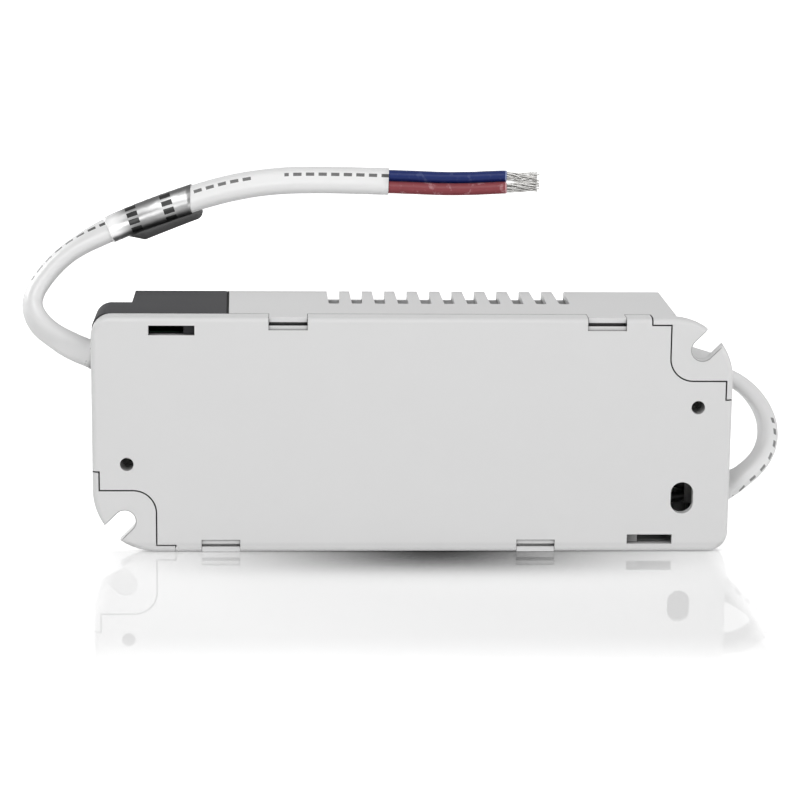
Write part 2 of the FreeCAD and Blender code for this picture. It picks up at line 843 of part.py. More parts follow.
def ring_sector(radius_in, radius_out, low, high, x, z, start, sweep):
    # part of a flat ring that lies on the board, swept by an angle round its upright axis
    corners = [(radius_in, low), (radius_out, low), (radius_out, high), (radius_in, high)]
    points = [V(x + r, at(board_top_depth + h), z) for r, h in corners]
    face = Part.Face(Part.makePolygon(points + [points[0]]))
    face.rotate(V(x, 0, z), ALONG_DEPTH, start)
    return face.revolve(V(x, 0, z), ALONG_DEPTH, sweep)


def make_choke(x, z):
    # two windings on a ring that lies on the board
    wire = choke_radius * 0.14
    outer = choke_radius - wire
    inner = choke_radius * 0.46
    low = 0.4 + wire
    high = choke_height - wire
    gap = seat_gap
    core = ring_sector(inner, outer, low, high, x, z, 0, 360)
    windings = []
    for start in (25, 205):
        coil = ring_sector(inner - wire, choke_radius, low - wire, choke_height, x, z, start, 130)
        coil = coil.cut(ring_sector(inner - gap, outer + gap, low - gap, high + gap, x, z, 0, 360))
        middle = math.radians(start + 65)
        reach = (inner + outer) / 2
        foot = on_board(x + reach * math.cos(middle), z - reach * math.sin(middle), 2.4, 2.4, 0.5)
        windings.append(fuse_all([coil, foot]))
    return core, Part.makeCompound(windings)


def make_bridge(x, z):
    # flat package on four leads, with one bevelled corner
    size_x, size_z, height = bridge_size
    body = on_board(x, z, size_x, size_z, height, bridge_lift)
    top = board_top_depth + bridge_lift + height
    corner = [e for e in body.Edges if e.BoundBox.ZLength > size_z - 0.1
              and e.BoundBox.XMax < x and e.BoundBox.YMin > at(top) - 0.1]
    body = body.makeChamfer(bridge_bevel, corner)
    pitch = size_x / 4
    pins = leads([(x + pitch * (i - 1.5), z) for i in range(4)], bridge_lift, 1.4 * pin_thickness)
    return fuse_all([body] + pins)


def make_package(x, z):
    # tab package that stands against the heatsink plate, with a hole in its tab
    face = z - heatsink_plate / 2 - seat_gap / 2
    tab_z = face - package_tab_thickness / 2
    body_z = face - package_tab_thickness - package_body_thickness / 2 + seat_gap
    tab = on_board(x, tab_z, package_width, package_tab_thickness, package_tab_height, package_lift)
    hole = V(x, at(board_top_depth + package_tab_hole_height), face - 2 * package_tab_thickness)
    tab = tab.cut(Part.makeCylinder(package_tab_hole / 2, 3 * package_tab_thickness, hole, UP))
    body = on_board(x, body_z, package_width, package_body_thickness, package_body_height,
                    package_lift)
    pins = leads([(x + package_pin_pitch * i, body_z) for i in (-1, 0, 1)], package_lift)
    return fuse_all([tab, body] + pins)


def make_heatsink(z):
    # aluminium plate with its two ends folded towards the board's middle
    side = heatsink_length / 2 - heatsink_plate / 2
    fold_z = z + heatsink_plate / 2 - heatsink_fold / 2
    pieces = [on_board(0, z, heatsink_length, heatsink_plate, heatsink_height)]
    for x in (-side, side):
        pieces.append(on_board(x, fold_z, heatsink_plate, heatsink_fold, heatsink_height))
    sink = fuse_all(pieces)
    back = z + heatsink_plate / 2
    corner = [e for e in sink.Edges if e.BoundBox.YLength > heatsink_height - 1
              and abs(e.BoundBox.ZMin - back) < 0.01]
    return sink.makeFillet(heatsink_plate * 0.8, corner)


def make_optocoupler(x, z):
    size_x, size_z, height = optocoupler_size
    body = on_board(x, z, size_x, size_z, height, optocoupler_lift)
    reach = (size_z + optocoupler_lift) / 2
    return fuse_all([body] + leads([(x + i, z + k) for i in (-1.3, 1.3) for k in (-reach, reach)], 2.4))


def make_chip(x, z):
    size_x, size_z, height = chip_size
    feet = [on_board(x + size_x / 4 * i, z, 0.45, size_z + 2, 0.5) for i in (-1.5, -0.5, 0.5, 1.5)]
    return fuse_all([on_board(x, z, size_x, size_z, height, 0.2)] + feet)


def make_fuse(x, z):
    # glass tube fuse in two clips that lies along the board's edge
    start = x - fuse_length / 2
    centre = V(start, at(board_top_depth + fuse_diameter / 2 + 0.2), z)
    tube_part = Part.makeCylinder(fuse_diameter / 2, fuse_length, centre, ALONG_LENGTH)
    clips = [on_board(start + fuse_clip_width / 2, z, fuse_clip_width, fuse_diameter + 0.6,
                      fuse_diameter + 0.5),
             on_board(start + fuse_length - fuse_clip_width / 2, z, fuse_clip_width,
                      fuse_diameter + 0.6, fuse_diameter + 0.5)]
    return fuse_all([tube_part] + clips)


# Leads
# Points of each free sheath from where it leaves the cover to where it is stripped, measured from that
# exit: along X, along the depth and up
input_exit = V(left_end - cord_exit_reach, at(cord_depth), cord_z + 0.75)
input_steps = [
    (0, 0, 0),
    (-4.2, 0, 1.55),
    (-11.3, 0.0, 6.85),
    (-11.9, 4.4, 12.55),
    (-2.3, 7.2, 22.55),
    (22.9, 7.6, 32.15),
    (36.5, 6.6, 35.25),
    (49.7, 5.6, 35.75),
    (62.3, 5.0, 35.45),
]
output_exit = V(half_length + cord_exit_reach, at(cord_depth), cord_edge + 0.9)
output_steps = [
    (0, 0, 0),
    (4.4, 0, 2.4),
    (9.3, 4.0, 7.2),
    (10.1, 11.0, 12.8),
    (6.4, 19.0, 18.0),
    (-0.8, 25.5, 20.2),
    (-11.2, 29.2, 17.2),
    (-21.7, 31.8, 8.2),
    (-31.7, 33.4, -2.2),
    (-42.7, 33.8, -8.3),
    (-53.7, 32.6, -8.2),
]
input_route = [tuple(input_exit + V(*step)) for step in input_steps]
output_route = [tuple(output_exit + V(*step)) for step in output_steps]


def sheath_stub(side):
    # flat sheath inside a cover, bent so that it leaves along the free lead
    start = -stub_start if side < 0 else stub_start
    base_z = cord_z if side < 0 else width - cord_z
    route = input_route if side < 0 else output_route
    leave = V(*route[0])
    way = V(*route[1]).sub(leave)
    bend = leave - way * ((leave.z - base_z) / way.z)
    half = cord_thickness / 2
    flat = cord_width / 2 - half
    entry = V(start, at(cord_depth), base_z)
    low = entry + V(0, 0, -flat)
    high = entry + V(0, 0, flat)
    near = V(0, -half, 0)
    section = Part.Wire([
        Part.LineSegment(low + near, high + near).toShape(),
        Part.Arc(high + near, high + V(0, 0, half), high - near).toShape(),
        Part.LineSegment(high - near, low - near).toShape(),
        Part.Arc(low - near, low + V(0, 0, -half), low + near).toShape(),
    ])
    path = tube_path([tuple(entry), tuple(bend), tuple(leave)], "stub")
    return path.makePipeShell([section], True, True)


def inner_cores(side):
    # the two cores between the sheath and the terminal block, spread to the block's pitch
    start = side * stub_start
    end = side * (terminal_x + terminal_length / 2 - core_insertion)
    base_z = cord_z if side < 0 else width - cord_z
    cores = []
    for sign in (-1, 1):
        near = V(start, at(cord_depth), base_z + sign * core_spacing / 2)
        far = V(end, at(cord_depth), base_z + sign * terminal_pitch / 2)
        ring = Part.Wire(Part.Circle(near, ALONG_LENGTH, inner_core_diameter / 2).toShape())
        cores.append(Part.Face(ring).extrude(far.sub(near)))
    return Part.makeCompound(cores)


def stripped_end(route, side_tilt):
    # blue and red core, then tinned strands, past the end of a sheath
    tip = V(*route[-1])
    way = tip.sub(V(*route[-2]))
    way.normalize()
    across = V(0, math.sin(side_tilt), math.cos(side_tilt))
    across = across - way * across.dot(way)
    across.normalize()
    solids = []
    strands = []
    for sign in (1, -1):
        start = tip + across * (sign * core_spacing / 2)
        core_end = start + way * core_length
        solids.append(Part.makeCylinder(core_diameter / 2, core_length, start, way))
        strands.append(Part.makeCylinder(strand_diameter / 2, strand_length, core_end, way))
    return solids[0], solids[1], Part.makeCompound(strands)


def foil_band(route):
    # foil marker wrapped round the straight stretch of the input lead
    start = V(*route[4])
    end = V(*route[5])
    way = end.sub(start)
    way.normalize()
    first = start + way * foil_start
    inner_radius = cord_width / 2 + foil_clearance
    outer = Part.makeCylinder(inner_radius + foil_thickness, foil_length, first, way)
    inner = Part.makeCylinder(inner_radius, foil_length + 2, first - way, way)
    return outer.cut(inner), first, way


def foil_flag(first, way):
    # folded tail of the marker that hangs below and behind the lead
    down = ALONG_DEPTH.cross(way)
    if down.z > 0:
        down = down * -1
    lean = (down + ALONG_DEPTH * -0.2)
    lean.normalize()
    top = cord_width / 2 + foil_clearance + foil_thickness + seat_gap / 2
    corners = [first + way * 2.4 + lean * top, first + way * 4.0 + lean * (top + flag_drop),
               first + way * 16.6 + lean * (top + flag_drop), first + way * 17.8 + lean * top]
    face = Part.Face(Part.makePolygon(corners + [corners[0]]))
    normal = way.cross(lean)
    normal.normalize()
    return face.extrude(normal * flag_thickness)


os.makedirs("parts", exist_ok=True)

save("upper_housing", make_housing())
save("base_tray", make_tray())
input_cover = make_cover()
save("input_cover", input_cover)
save("output_cover", turned(input_cover))
cover_screw = pan_screw(boss_x, boss_z, low_depth, cover_screw_head, cover_screw_head_height,
                        cover_screw_length)
save("cover_screws", Part.makeCompound([cover_screw, turned(cover_screw)]))
input_clamp = clamp_bar_at_left()
save("input_cable_clamp", input_clamp)
save("output_cable_clamp", turned(input_clamp))
clamp_screws = [pan_screw(-clamp_x, z, cable_over + clamp_bar_thickness, clamp_screw_head,
                          clamp_screw_head_height, clamp_screw_length) for z in clamp_screw_heights()]
clamp_screws += [turned(screw) for screw in clamp_screws]
save("clamp_screws", Part.makeCompound(clamp_screws))
save("insulating_sheet", make_sheet())
save("circuit_board", make_board())
terminal = make_terminal()
save("input_terminal", terminal)
save("output_terminal", turned(terminal))
terminal_screws = [terminal_screw(cord_z + sign * terminal_pitch / 2) for sign in (-1, 1)]
terminal_screws += [turned(screw) for screw in terminal_screws]
save("terminal_screws", Part.makeCompound(terminal_screws))

# Board layout: three groups, at the input end, in the middle and at the output end
input_x = -bay_end + group_inset
output_x = bay_end - group_inset
low_z = component_edge
high_z = width - component_edge
sink_z = high_z - 1.6

save("fuse", make_fuse(input_x, high_z - 2.6))
save("varistor", disc(input_x, high_z - 7.2, varistor_radius, varistor_thickness, False,
                      disc_lift))
save("bridge_rectifier", make_bridge(input_x, mid_z + 5.6))
save("suppression_capacitor", boxed(input_x, mid_z - 0.4, *suppressor_size))
choke_core, choke_windings = make_choke(input_x, low_z + choke_radius + 0.2)
save("choke_core", choke_core)
save("choke_windings", choke_windings)
save("film_capacitor", boxed(-9.8, mid_z + 4.0, *film_capacitor_size))
save("bulk_capacitor", can(0, mid_z + 4.2, bulk_capacitor_radius, bulk_capacitor_height, 2.4))
save("safety_capacitor", disc(9.0, mid_z + 4.0, safety_capacitor_radius, safety_capacitor_thickness,
                              True, disc_lift))
transformer = wound(0, low_z + transformer_size[1] / 2 + 0.2, transformer_size, transformer_leg,
                    transformer_winding_size, transformer_axis_height)
inductor = wound(output_x, low_z + inductor_size[1] / 2 + 0.2, inductor_size, inductor_leg,
                 inductor_winding_size, inductor_axis_height)
for kind, solids in (("transformer", transformer), ("inductor", inductor)):
    for name, solid in zip(("core", "bobbin", "winding"), solids):
        save(kind + "_" + name, solid)
save("heatsink", make_heatsink(sink_z))
save("power_transistor", make_package(-package_spacing / 2, sink_z))
save("output_diode", make_package(package_spacing / 2, sink_z))
can_shift = output_capacitor_radius + 0.2
output_cans = [can(output_x + sign * can_shift, mid_z + 1.2, output_capacitor_radius,
                   output_capacitor_height, 2.2) for sign in (-1, 1)]
save("output_capacitors", Part.makeCompound(output_cans))
save("optocoupler", make_optocoupler(output_x - 4.1, high_z - 4.4))
save("control_chip", make_chip(output_x + 3.9, high_z - 4.4))

save("input_cord_inner", sheath_stub(-1))
save("output_cord_inner", sheath_stub(1))
save("input_inner_cores", inner_cores(-1))
save("output_inner_cores", inner_cores(1))
save("input_cord", tube(input_route, cord_width, "input cord"))
save("output_cord", tube(output_route, cord_width, "output cord"))
for side_name, route in (("input", input_route), ("output", output_route)):
    blue, red, strands = stripped_end(route, core_tilt)
    save(side_name + "_core_blue", blue)
    save(side_name + "_core_red", red)
    save(side_name + "_strands", strands)
band, foil_place, foil_way = foil_band(input_route)
save("cord_foil", band)
save("foil_flag", foil_flag(foil_place, foil_way))
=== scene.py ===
import bpy
import bmesh
import math
from mathutils import Matrix, Vector, noise


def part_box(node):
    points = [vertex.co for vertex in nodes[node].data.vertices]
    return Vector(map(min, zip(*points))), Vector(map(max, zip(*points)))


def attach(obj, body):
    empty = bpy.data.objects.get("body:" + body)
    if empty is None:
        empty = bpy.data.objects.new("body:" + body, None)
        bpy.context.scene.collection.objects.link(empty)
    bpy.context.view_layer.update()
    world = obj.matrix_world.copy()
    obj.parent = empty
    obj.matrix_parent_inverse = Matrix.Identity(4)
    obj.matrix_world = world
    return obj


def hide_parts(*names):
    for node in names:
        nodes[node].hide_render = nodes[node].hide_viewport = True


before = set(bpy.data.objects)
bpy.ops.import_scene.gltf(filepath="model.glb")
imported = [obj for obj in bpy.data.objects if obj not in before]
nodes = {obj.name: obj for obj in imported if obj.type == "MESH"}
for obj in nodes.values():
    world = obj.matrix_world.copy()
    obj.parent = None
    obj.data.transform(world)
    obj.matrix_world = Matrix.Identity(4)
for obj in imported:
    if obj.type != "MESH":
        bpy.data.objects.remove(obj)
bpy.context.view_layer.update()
mm = 0.001
print("frame loaded,", len(nodes), "nodes")

# Camera: the photograph's standpoint, a little to the left and looking down by twelve degrees
cameraLook = {
    "place": (-0.02588, -0.552901, 0.149113),
    "turnRight": 2.4655,
    "tiltDown": 12.2702,
    "roll": 0.6012,
    "lens": 120.44,
    "sensorWidth": 36,
    "clipStart": 0.01,
}


def makeCamera(look):
    data = bpy.data.cameras.new("camera")
    data.lens = look["lens"]
    data.sensor_width = look["sensorWidth"]
    data.clip_start = look["clipStart"]
    cam = bpy.data.objects.new("camera", data)
    bpy.context.scene.collection.objects.link(cam)
    turn = Matrix.Rotation(math.radians(-look["turnRight"]), 4, "Z")
    tilt = Matrix.Rotation(math.radians(90 - look["tiltDown"]), 4, "X")
    roll = Matrix.Rotation(math.radians(look["roll"]), 4, "Z")
    cam.matrix_world = Matrix.Translation(look["place"]) @ turn @ tilt @ roll
    bpy.context.scene.camera = cam


makeCamera(cameraLook)
print("camera placed")


# Materials
def linear(value):
    value = value / 255
    return value / 12.92 if value <= 0.04045 else ((value + 0.055) / 1.055) ** 2.4


def tone(red, green=None, blue=None):
    # a colour as it reads on the screen, 0 to 255
    green = red if green is None else green
    blue = red if blue is None else blue
    return (linear(red), linear(green), linear(blue), 1)


def newGroup(name, inputs, outputs):
    group = bpy.data.node_groups.new(name, "ShaderNodeTree")
    for label, kind, value in inputs:
        socket = group.interface.new_socket(name=label, in_out="INPUT",
                                            socket_type="NodeSocket" + kind)
        if value is not None:
            socket.default_value = value
    for label, kind in outputs:
        group.interface.new_socket(name=label, in_out="OUTPUT", socket_type="NodeSocket" + kind)
    start = group.nodes.new("NodeGroupInput")
    end = group.nodes.new("NodeGroupOutput")
    return group, start, end


def addNode(tree, kind, **settings):
    node = tree.nodes.new("ShaderNode" + kind)
    for key, value in settings.items():
        setattr(node, key, value)
    return node


def calc(tree, operation, first, second=None, third=None):
    # one Math node: numbers are typed in, sockets are linked
    node = addNode(tree, "Math", operation=operation)
    for index, value in enumerate((first, second, third)):
        if value is None:
            continue
        if isinstance(value, (int, float)):
            node.inputs[index].default_value = value
        else:
            tree.links.new(value, node.inputs[index])
    return node.outputs[0]


def rangeOf(tree, value, span, results=(0, 1)):
    # a value brought smoothly from one span to another
    node = addNode(tree, "MapRange", interpolation_type="SMOOTHSTEP")
    tree.links.new(value, node.inputs["Value"])
    for label, number in zip(("From Min", "From Max", "To Min", "To Max"), (*span, *results)):
        node.inputs[label].default_value = number
    return node.outputs["Result"]


def noiseAt(tree, vector, scale, detail=2.0, roughness=0.5):
    node = addNode(tree, "TexNoise")
    tree.links.new(vector, node.inputs["Vector"])
    node.inputs["Detail"].default_value = detail
    node.inputs["Roughness"].default_value = roughness
    if isinstance(scale, (int, float)):
        node.inputs["Scale"].default_value = scale
    else:
        tree.links.new(scale, node.inputs["Scale"])
    return node.outputs["Fac"]


def shaded(tree, color, factor):
    # a colour multiplied by a grey factor
    scaled = addNode(tree, "VectorMath", operation="SCALE")
    tree.links.new(color, scaled.inputs[0])
    tree.links.new(factor, scaled.inputs["Scale"])
    return scaled.outputs[0]


def makeSurfaceGroup():
    # cloudy colour, uneven gloss and fine grain, as on moulded plastic, enamel or metal
    group, start, end = newGroup("surfaceDetail", [
        ("Vector", "Vector", None),
        ("Color", "Color", (0.8, 0.8, 0.8, 1)),
        ("Mottle", "Float", 0.03),
        ("Mottle Scale", "Float", 90.0),
        ("Roughness", "Float", 0.4),
        ("Roughness Spread", "Float", 0.08),
        ("Grain Scale", "Float", 4000.0),
    ], [("Color", "Color"), ("Roughness", "Float"), ("Height", "Float")])
    pins = start.outputs
    cloud = noiseAt(group, pins["Vector"], pins["Mottle Scale"], detail=4.0, roughness=0.6)
    centred = calc(group, "SUBTRACT", cloud, 0.5)
    spread = calc(group, "MULTIPLY", calc(group, "MULTIPLY", centred, pins["Mottle"]), 2.0)
    factor = calc(group, "ADD", spread, 1.0)
    gloss = calc(group, "MULTIPLY_ADD", centred, pins["Roughness Spread"], pins["Roughness"])
    grain = noiseAt(group, pins["Vector"], pins["Grain Scale"], detail=3.0, roughness=0.6)
    group.links.new(shaded(group, pins["Color"], factor), end.inputs["Color"])
    group.links.new(gloss, end.inputs["Roughness"])
    group.links.new(grain, end.inputs["Height"])
    return group


def makePrintGroup():
    # plain printed dashes in rows along a lead: U runs along it in metres, V goes round it
    group, start, end = newGroup("printedDashes", [
        ("U", "Float", 0.0),
        ("V", "Float", 0.0),
        ("Pitch", "Float", 0.0021),
        ("Dash Share", "Float", 0.62),
        ("Dashes", "Float", 7.0),
        ("Gap Share", "Float", 0.22),
        ("Row", "Float", 0.33),
        ("Row Pitch", "Float", 2.0),
        ("Half Height", "Float", 0.012),
        ("Shift", "Float", 0.0),
        ("First", "Float", 0.0),
        ("Last", "Float", 1.0),
    ], [("Mask", "Float")])
    pins = start.outputs
    along = calc(group, "ADD", pins["U"], pins["Shift"])
    steps = calc(group, "DIVIDE", along, pins["Pitch"])
    dash = calc(group, "LESS_THAN", calc(group, "FRACT", steps), pins["Dash Share"])
    words = calc(group, "FRACT", calc(group, "DIVIDE", steps, pins["Dashes"]))
    inWord = calc(group, "GREATER_THAN", words, pins["Gap Share"])
    rows = calc(group, "DIVIDE", calc(group, "SUBTRACT", pins["V"], pins["Row"]), pins["Row Pitch"])
    offset = calc(group, "SUBTRACT", calc(group, "FRACT", calc(group, "ADD", rows, 0.5)), 0.5)
    away = calc(group, "MULTIPLY", calc(group, "ABSOLUTE", offset), pins["Row Pitch"])
    inRow = calc(group, "LESS_THAN", away, pins["Half Height"])
    past = calc(group, "GREATER_THAN", pins["U"], pins["First"])
    before = calc(group, "LESS_THAN", pins["U"], pins["Last"])
    mask = dash
    for part in (inWord, inRow, past, before):
        mask = calc(group, "MULTIPLY", mask, part)
    group.links.new(mask, end.inputs["Mask"])
    return group


def makeTurnsGroup():
    # rows of wound wire: bands along a coordinate, with rounded crowns and painted shade in the
    # valleys
    group, start, end = newGroup("woundWire", [
        ("Along", "Float", 0.0),
        ("Pitch", "Float", 0.0004),
        ("Depth", "Float", 0.35),
    ], [("Height", "Float"), ("Shade", "Float")])
    pins = start.outputs
    phase = calc(group, "FRACT", calc(group, "DIVIDE", pins["Along"], pins["Pitch"]))
    crown = calc(group, "SINE", calc(group, "MULTIPLY", phase, math.pi))
    valley = calc(group, "SUBTRACT", 1.0, pins["Depth"])
    shade = calc(group, "MULTIPLY_ADD", crown, pins["Depth"], valley)
    group.links.new(crown, end.inputs["Height"])
    group.links.new(shade, end.inputs["Shade"])
    return group


def makePaintedHollowShadeGroup():
    # painted shade: a factor that falls from 1 on open faces to nearly 0 deep inside holes, seams
    # and slots
    group, start, end = newGroup("hollows", [
        ("Reach", "Float", 0.002),
        ("Depth", "Float", 1.5),
    ], [("Factor", "Float")])
    openness = addNode(group, "AmbientOcclusion", samples=8)
    group.links.new(start.outputs["Reach"], openness.inputs["Distance"])
    factor = calc(group, "POWER", openness.outputs["AO"], start.outputs["Depth"])
    group.links.new(factor, end.inputs["Factor"])
    return group


surfaceGroup = makeSurfaceGroup()
paintedHollowShadeGroup = makePaintedHollowShadeGroup()
printGroup = makePrintGroup()
turnsGroup = makeTurnsGroup()


def mix(tree, factor, first, second):
    node = addNode(tree, "Mix", data_type="RGBA")
    tree.links.new(factor, node.inputs["Factor"])
    for socket, value in ((node.inputs["A"], first), (node.inputs["B"], second)):
        if isinstance(value, tuple):
            socket.default_value = value
        else:
            tree.links.new(value, socket)
    return node.outputs["Result"]


def makeMaterial(name, color, rough=0.42, spread=0.1, mottle=0.03, mottleScale=90, grainScale=4000,
                 grain=0.25, grainDepth=0.00002, metallic=0.0, coat=0.0, ior=1.46):
    # returns the material with handles to what a special finish adds to
    mat = bpy.data.materials.new(name)
    mat.use_nodes = True
    tree = mat.node_tree
    shader = tree.nodes["Principled BSDF"]
    shader.inputs["Metallic"].default_value = metallic
    shader.inputs["IOR"].default_value = ior
    shader.inputs["Coat Weight"].default_value = coat
    coords = addNode(tree, "TexCoord")
    detail = addNode(tree, "Group", node_tree=surfaceGroup)
    tree.links.new(coords.outputs["Object"], detail.inputs["Vector"])
    detail.inputs["Color"].default_value = color
    detail.inputs["Mottle"].default_value = mottle
    detail.inputs["Mottle Scale"].default_value = mottleScale
    detail.inputs["Roughness"].default_value = rough
    detail.inputs["Roughness Spread"].default_value = spread
    detail.inputs["Grain Scale"].default_value = grainScale
    bump = addNode(tree, "Bump")
    bump.inputs["Strength"].default_value = grain
    bump.inputs["Distance"].default_value = grainDepth
    tree.links.new(detail.outputs["Color"], shader.inputs["Base Color"])
    tree.links.new(detail.outputs["Roughness"], shader.inputs["Roughness"])
    tree.links.new(detail.outputs["Height"], bump.inputs["Height"])
    tree.links.new(bump.outputs["Normal"], shader.inputs["Normal"])
    return mat, {"tree": tree, "shader": shader, "coords": coords, "detail": detail, "bump": bump}


clearShare = 0.3      # the painted shade in hollows begins to show at this share of its reach above the floor


def addPaintedHollowShade(parts, reach, depth):
    # paints shade into the colour in hollows, but not where the object stands on the floor
    tree = parts["tree"]
    # factor of painted shade, from how open each point is
    hollows = addNode(tree, "Group", node_tree=paintedHollowShadeGroup)
    place = addNode(tree, "SeparateXYZ")
    tree.links.new(parts["coords"].outputs["Object"], place.inputs[0])
    above = rangeOf(tree, place.outputs["Z"], (reach * clearShare, reach))
    hollows.inputs["Reach"].default_value = reach
    hollows.inputs["Depth"].default_value = depth
    kept = calc(tree, "SUBTRACT", 1.0, above)
    factor = calc(tree, "MULTIPLY_ADD", hollows.outputs["Factor"], above, kept)
    color = parts["shader"].inputs["Base Color"]
    tree.links.new(shaded(tree, color.links[0].from_socket, factor), color)


def makePlain(name, **finish):
    return makeMaterial(name, **finish)[0]


# a finish with painted shade darkening its hollows
def makeWithPaintedHollowShade(name, hollows, **finish):
    mat, parts = makeMaterial(name, **finish)
    addPaintedHollowShade(parts, **hollows)
    return mat


def makePrinted(name, ink, dashes, **finish):
    # a finish with rows of plain dashes on it
    mat, parts = makeMaterial(name, **finish)
    tree = parts["tree"]
    uv = addNode(tree, "SeparateXYZ")
    tree.links.new(parts["coords"].outputs["UV"], uv.inputs[0])
    marks = addNode(tree, "Group", node_tree=printGroup)
    tree.links.new(uv.outputs["X"], marks.inputs["U"])
    tree.links.new(uv.outputs["Y"], marks.inputs["V"])
    for label, value in dashes.items():
        marks.inputs[label].default_value = value
    inked = mix(tree, marks.outputs["Mask"], parts["detail"].outputs["Color"], ink)
    tree.links.new(inked, parts["shader"].inputs["Base Color"])
    return mat


woundBump = {"Strength": 0.6, "Distance": 0.1 * mm}


def makeWound(name, pitch, axis, depth=0.35, centre=None, **finish):
    # wire wound along one axis, or round a ring lying at centre when axis is "ring"
    mat, parts = makeMaterial(name, **finish)
    tree = parts["tree"]
    place = addNode(tree, "SeparateXYZ")
    tree.links.new(parts["coords"].outputs["Object"], place.inputs[0])
    if axis == "ring":
        sideways = calc(tree, "SUBTRACT", place.outputs["X"], centre[0])
        upward = calc(tree, "SUBTRACT", place.outputs["Z"], centre[2])
        along = calc(tree, "ARCTAN2", upward, sideways)
    else:
        along = place.outputs[axis]
    turns = addNode(tree, "Group", node_tree=turnsGroup)
    tree.links.new(along, turns.inputs["Along"])
    turns.inputs["Pitch"].default_value = pitch
    turns.inputs["Depth"].default_value = depth
    # the valleys between the turns are darkened with painted shade
    woundWithPaintedShade = shaded(tree, parts["detail"].outputs["Color"], turns.outputs["Shade"])
    tree.links.new(woundWithPaintedShade, parts["shader"].inputs["Base Color"])
    tree.links.new(turns.outputs["Height"], parts["bump"].inputs["Height"])
    for label, value in woundBump.items():
        parts["bump"].inputs[label].default_value = value
    return mat


scuffLook = {"detail": 5.0, "roughness": 0.65, "sharpness": 12.0, "cutPaleness": 0.8}


def makeScuffGroup():
    # pale rubbed patches, thin at their borders
    group, start, end = newGroup("scuffs", [
        ("Vector", "Vector", None),
        ("Scale", "Float", 700.0),
        ("Threshold", "Float", 0.6),
        ("Strength", "Float", 0.5),
    ], [("Mask", "Float")])
    pins = start.outputs
    patch = noiseAt(group, pins["Vector"], pins["Scale"], scuffLook["detail"],
                    scuffLook["roughness"])
    above = calc(group, "SUBTRACT", patch, pins["Threshold"])
    over = calc(group, "MULTIPLY", above, scuffLook["sharpness"])
    soft = calc(group, "MINIMUM", calc(group, "MAXIMUM", over, 0.0), 1.0)
    group.links.new(calc(group, "MULTIPLY", soft, pins["Strength"]), end.inputs["Mask"])
    return group


scuffGroup = makeScuffGroup()


def makeScuffed(name, rubbed, scuffs, cutLength=0.0, **finish):
    # a finish with pale rubbed patches, and pale over a short length at the cut end of a core
    mat, parts = makeMaterial(name, **finish)
    tree = parts["tree"]
    patches = addNode(tree, "Group", node_tree=scuffGroup)
    tree.links.new(parts["coords"].outputs["Object"], patches.inputs["Vector"])
    for label, value in scuffs.items():
        patches.inputs[label].default_value = value
    mask = patches.outputs["Mask"]
    if cutLength > 0:
        uv = addNode(tree, "SeparateXYZ")
        tree.links.new(parts["coords"].outputs["UV"], uv.inputs[0])
        atCut = calc(tree, "LESS_THAN", uv.outputs["X"], cutLength)
        cut = calc(tree, "MULTIPLY", atCut, scuffLook["cutPaleness"])
        mask = calc(tree, "MAXIMUM", mask, cut)
    worn = mix(tree, mask, parts["detail"].outputs["Color"], rubbed)
    tree.links.new(worn, parts["shader"].inputs["Base Color"])
    return mat


foilReflectionLook = {"waveScale": 260, "waveDetail": 3.0, "waveReach": 0.08, "wash": 0.7, "washTone": 236}


def makeFoil(name, tones, bars, ink, paleEnd, **finish):
    # mirror film: painted reflection bands of light and dark round the lead, with a painted
    # highlight, washed out at one end, with plain bars
    mat, parts = makeMaterial(name, **finish)
    tree = parts["tree"]
    uv = addNode(tree, "SeparateXYZ")
    tree.links.new(parts["coords"].outputs["UV"], uv.inputs[0])
    wave = noiseAt(tree, parts["coords"].outputs["Object"], foilReflectionLook["waveScale"],
                   foilReflectionLook["waveDetail"])
    centred = calc(tree, "SUBTRACT", wave, 0.5)
    level = calc(tree, "MULTIPLY_ADD", centred, foilReflectionLook["waveReach"], uv.outputs["Y"])
    # bands of painted reflection and a painted highlight, set by the share of the way round
    ramp = addNode(tree, "ValToRGB")
    stops = ramp.color_ramp.elements
    while len(stops) < len(tones):
        stops.new(0.5)
    for stop, (place, value) in zip(stops, tones):
        stop.position = place
        stop.color = tone(value)
    tree.links.new(level, ramp.inputs["Fac"])
    marks = addNode(tree, "Group", node_tree=printGroup)
    tree.links.new(uv.outputs["X"], marks.inputs["U"])
    tree.links.new(uv.outputs["Y"], marks.inputs["V"])
    for label, value in bars.items():
        marks.inputs[label].default_value = value
    wash = rangeOf(tree, uv.outputs["X"], paleEnd, (foilReflectionLook["wash"], 0))
    washed = mix(tree, wash, ramp.outputs["Color"], tone(foilReflectionLook["washTone"]))
    inked = mix(tree, marks.outputs["Mask"], washed, ink)
    tree.links.new(inked, parts["shader"].inputs["Base Color"])
    return mat


housingFinish = {"color": tone(217), "rough": 0.42, "mottle": 0.012, "grainScale": 5200,
                 "grain": 0.16}
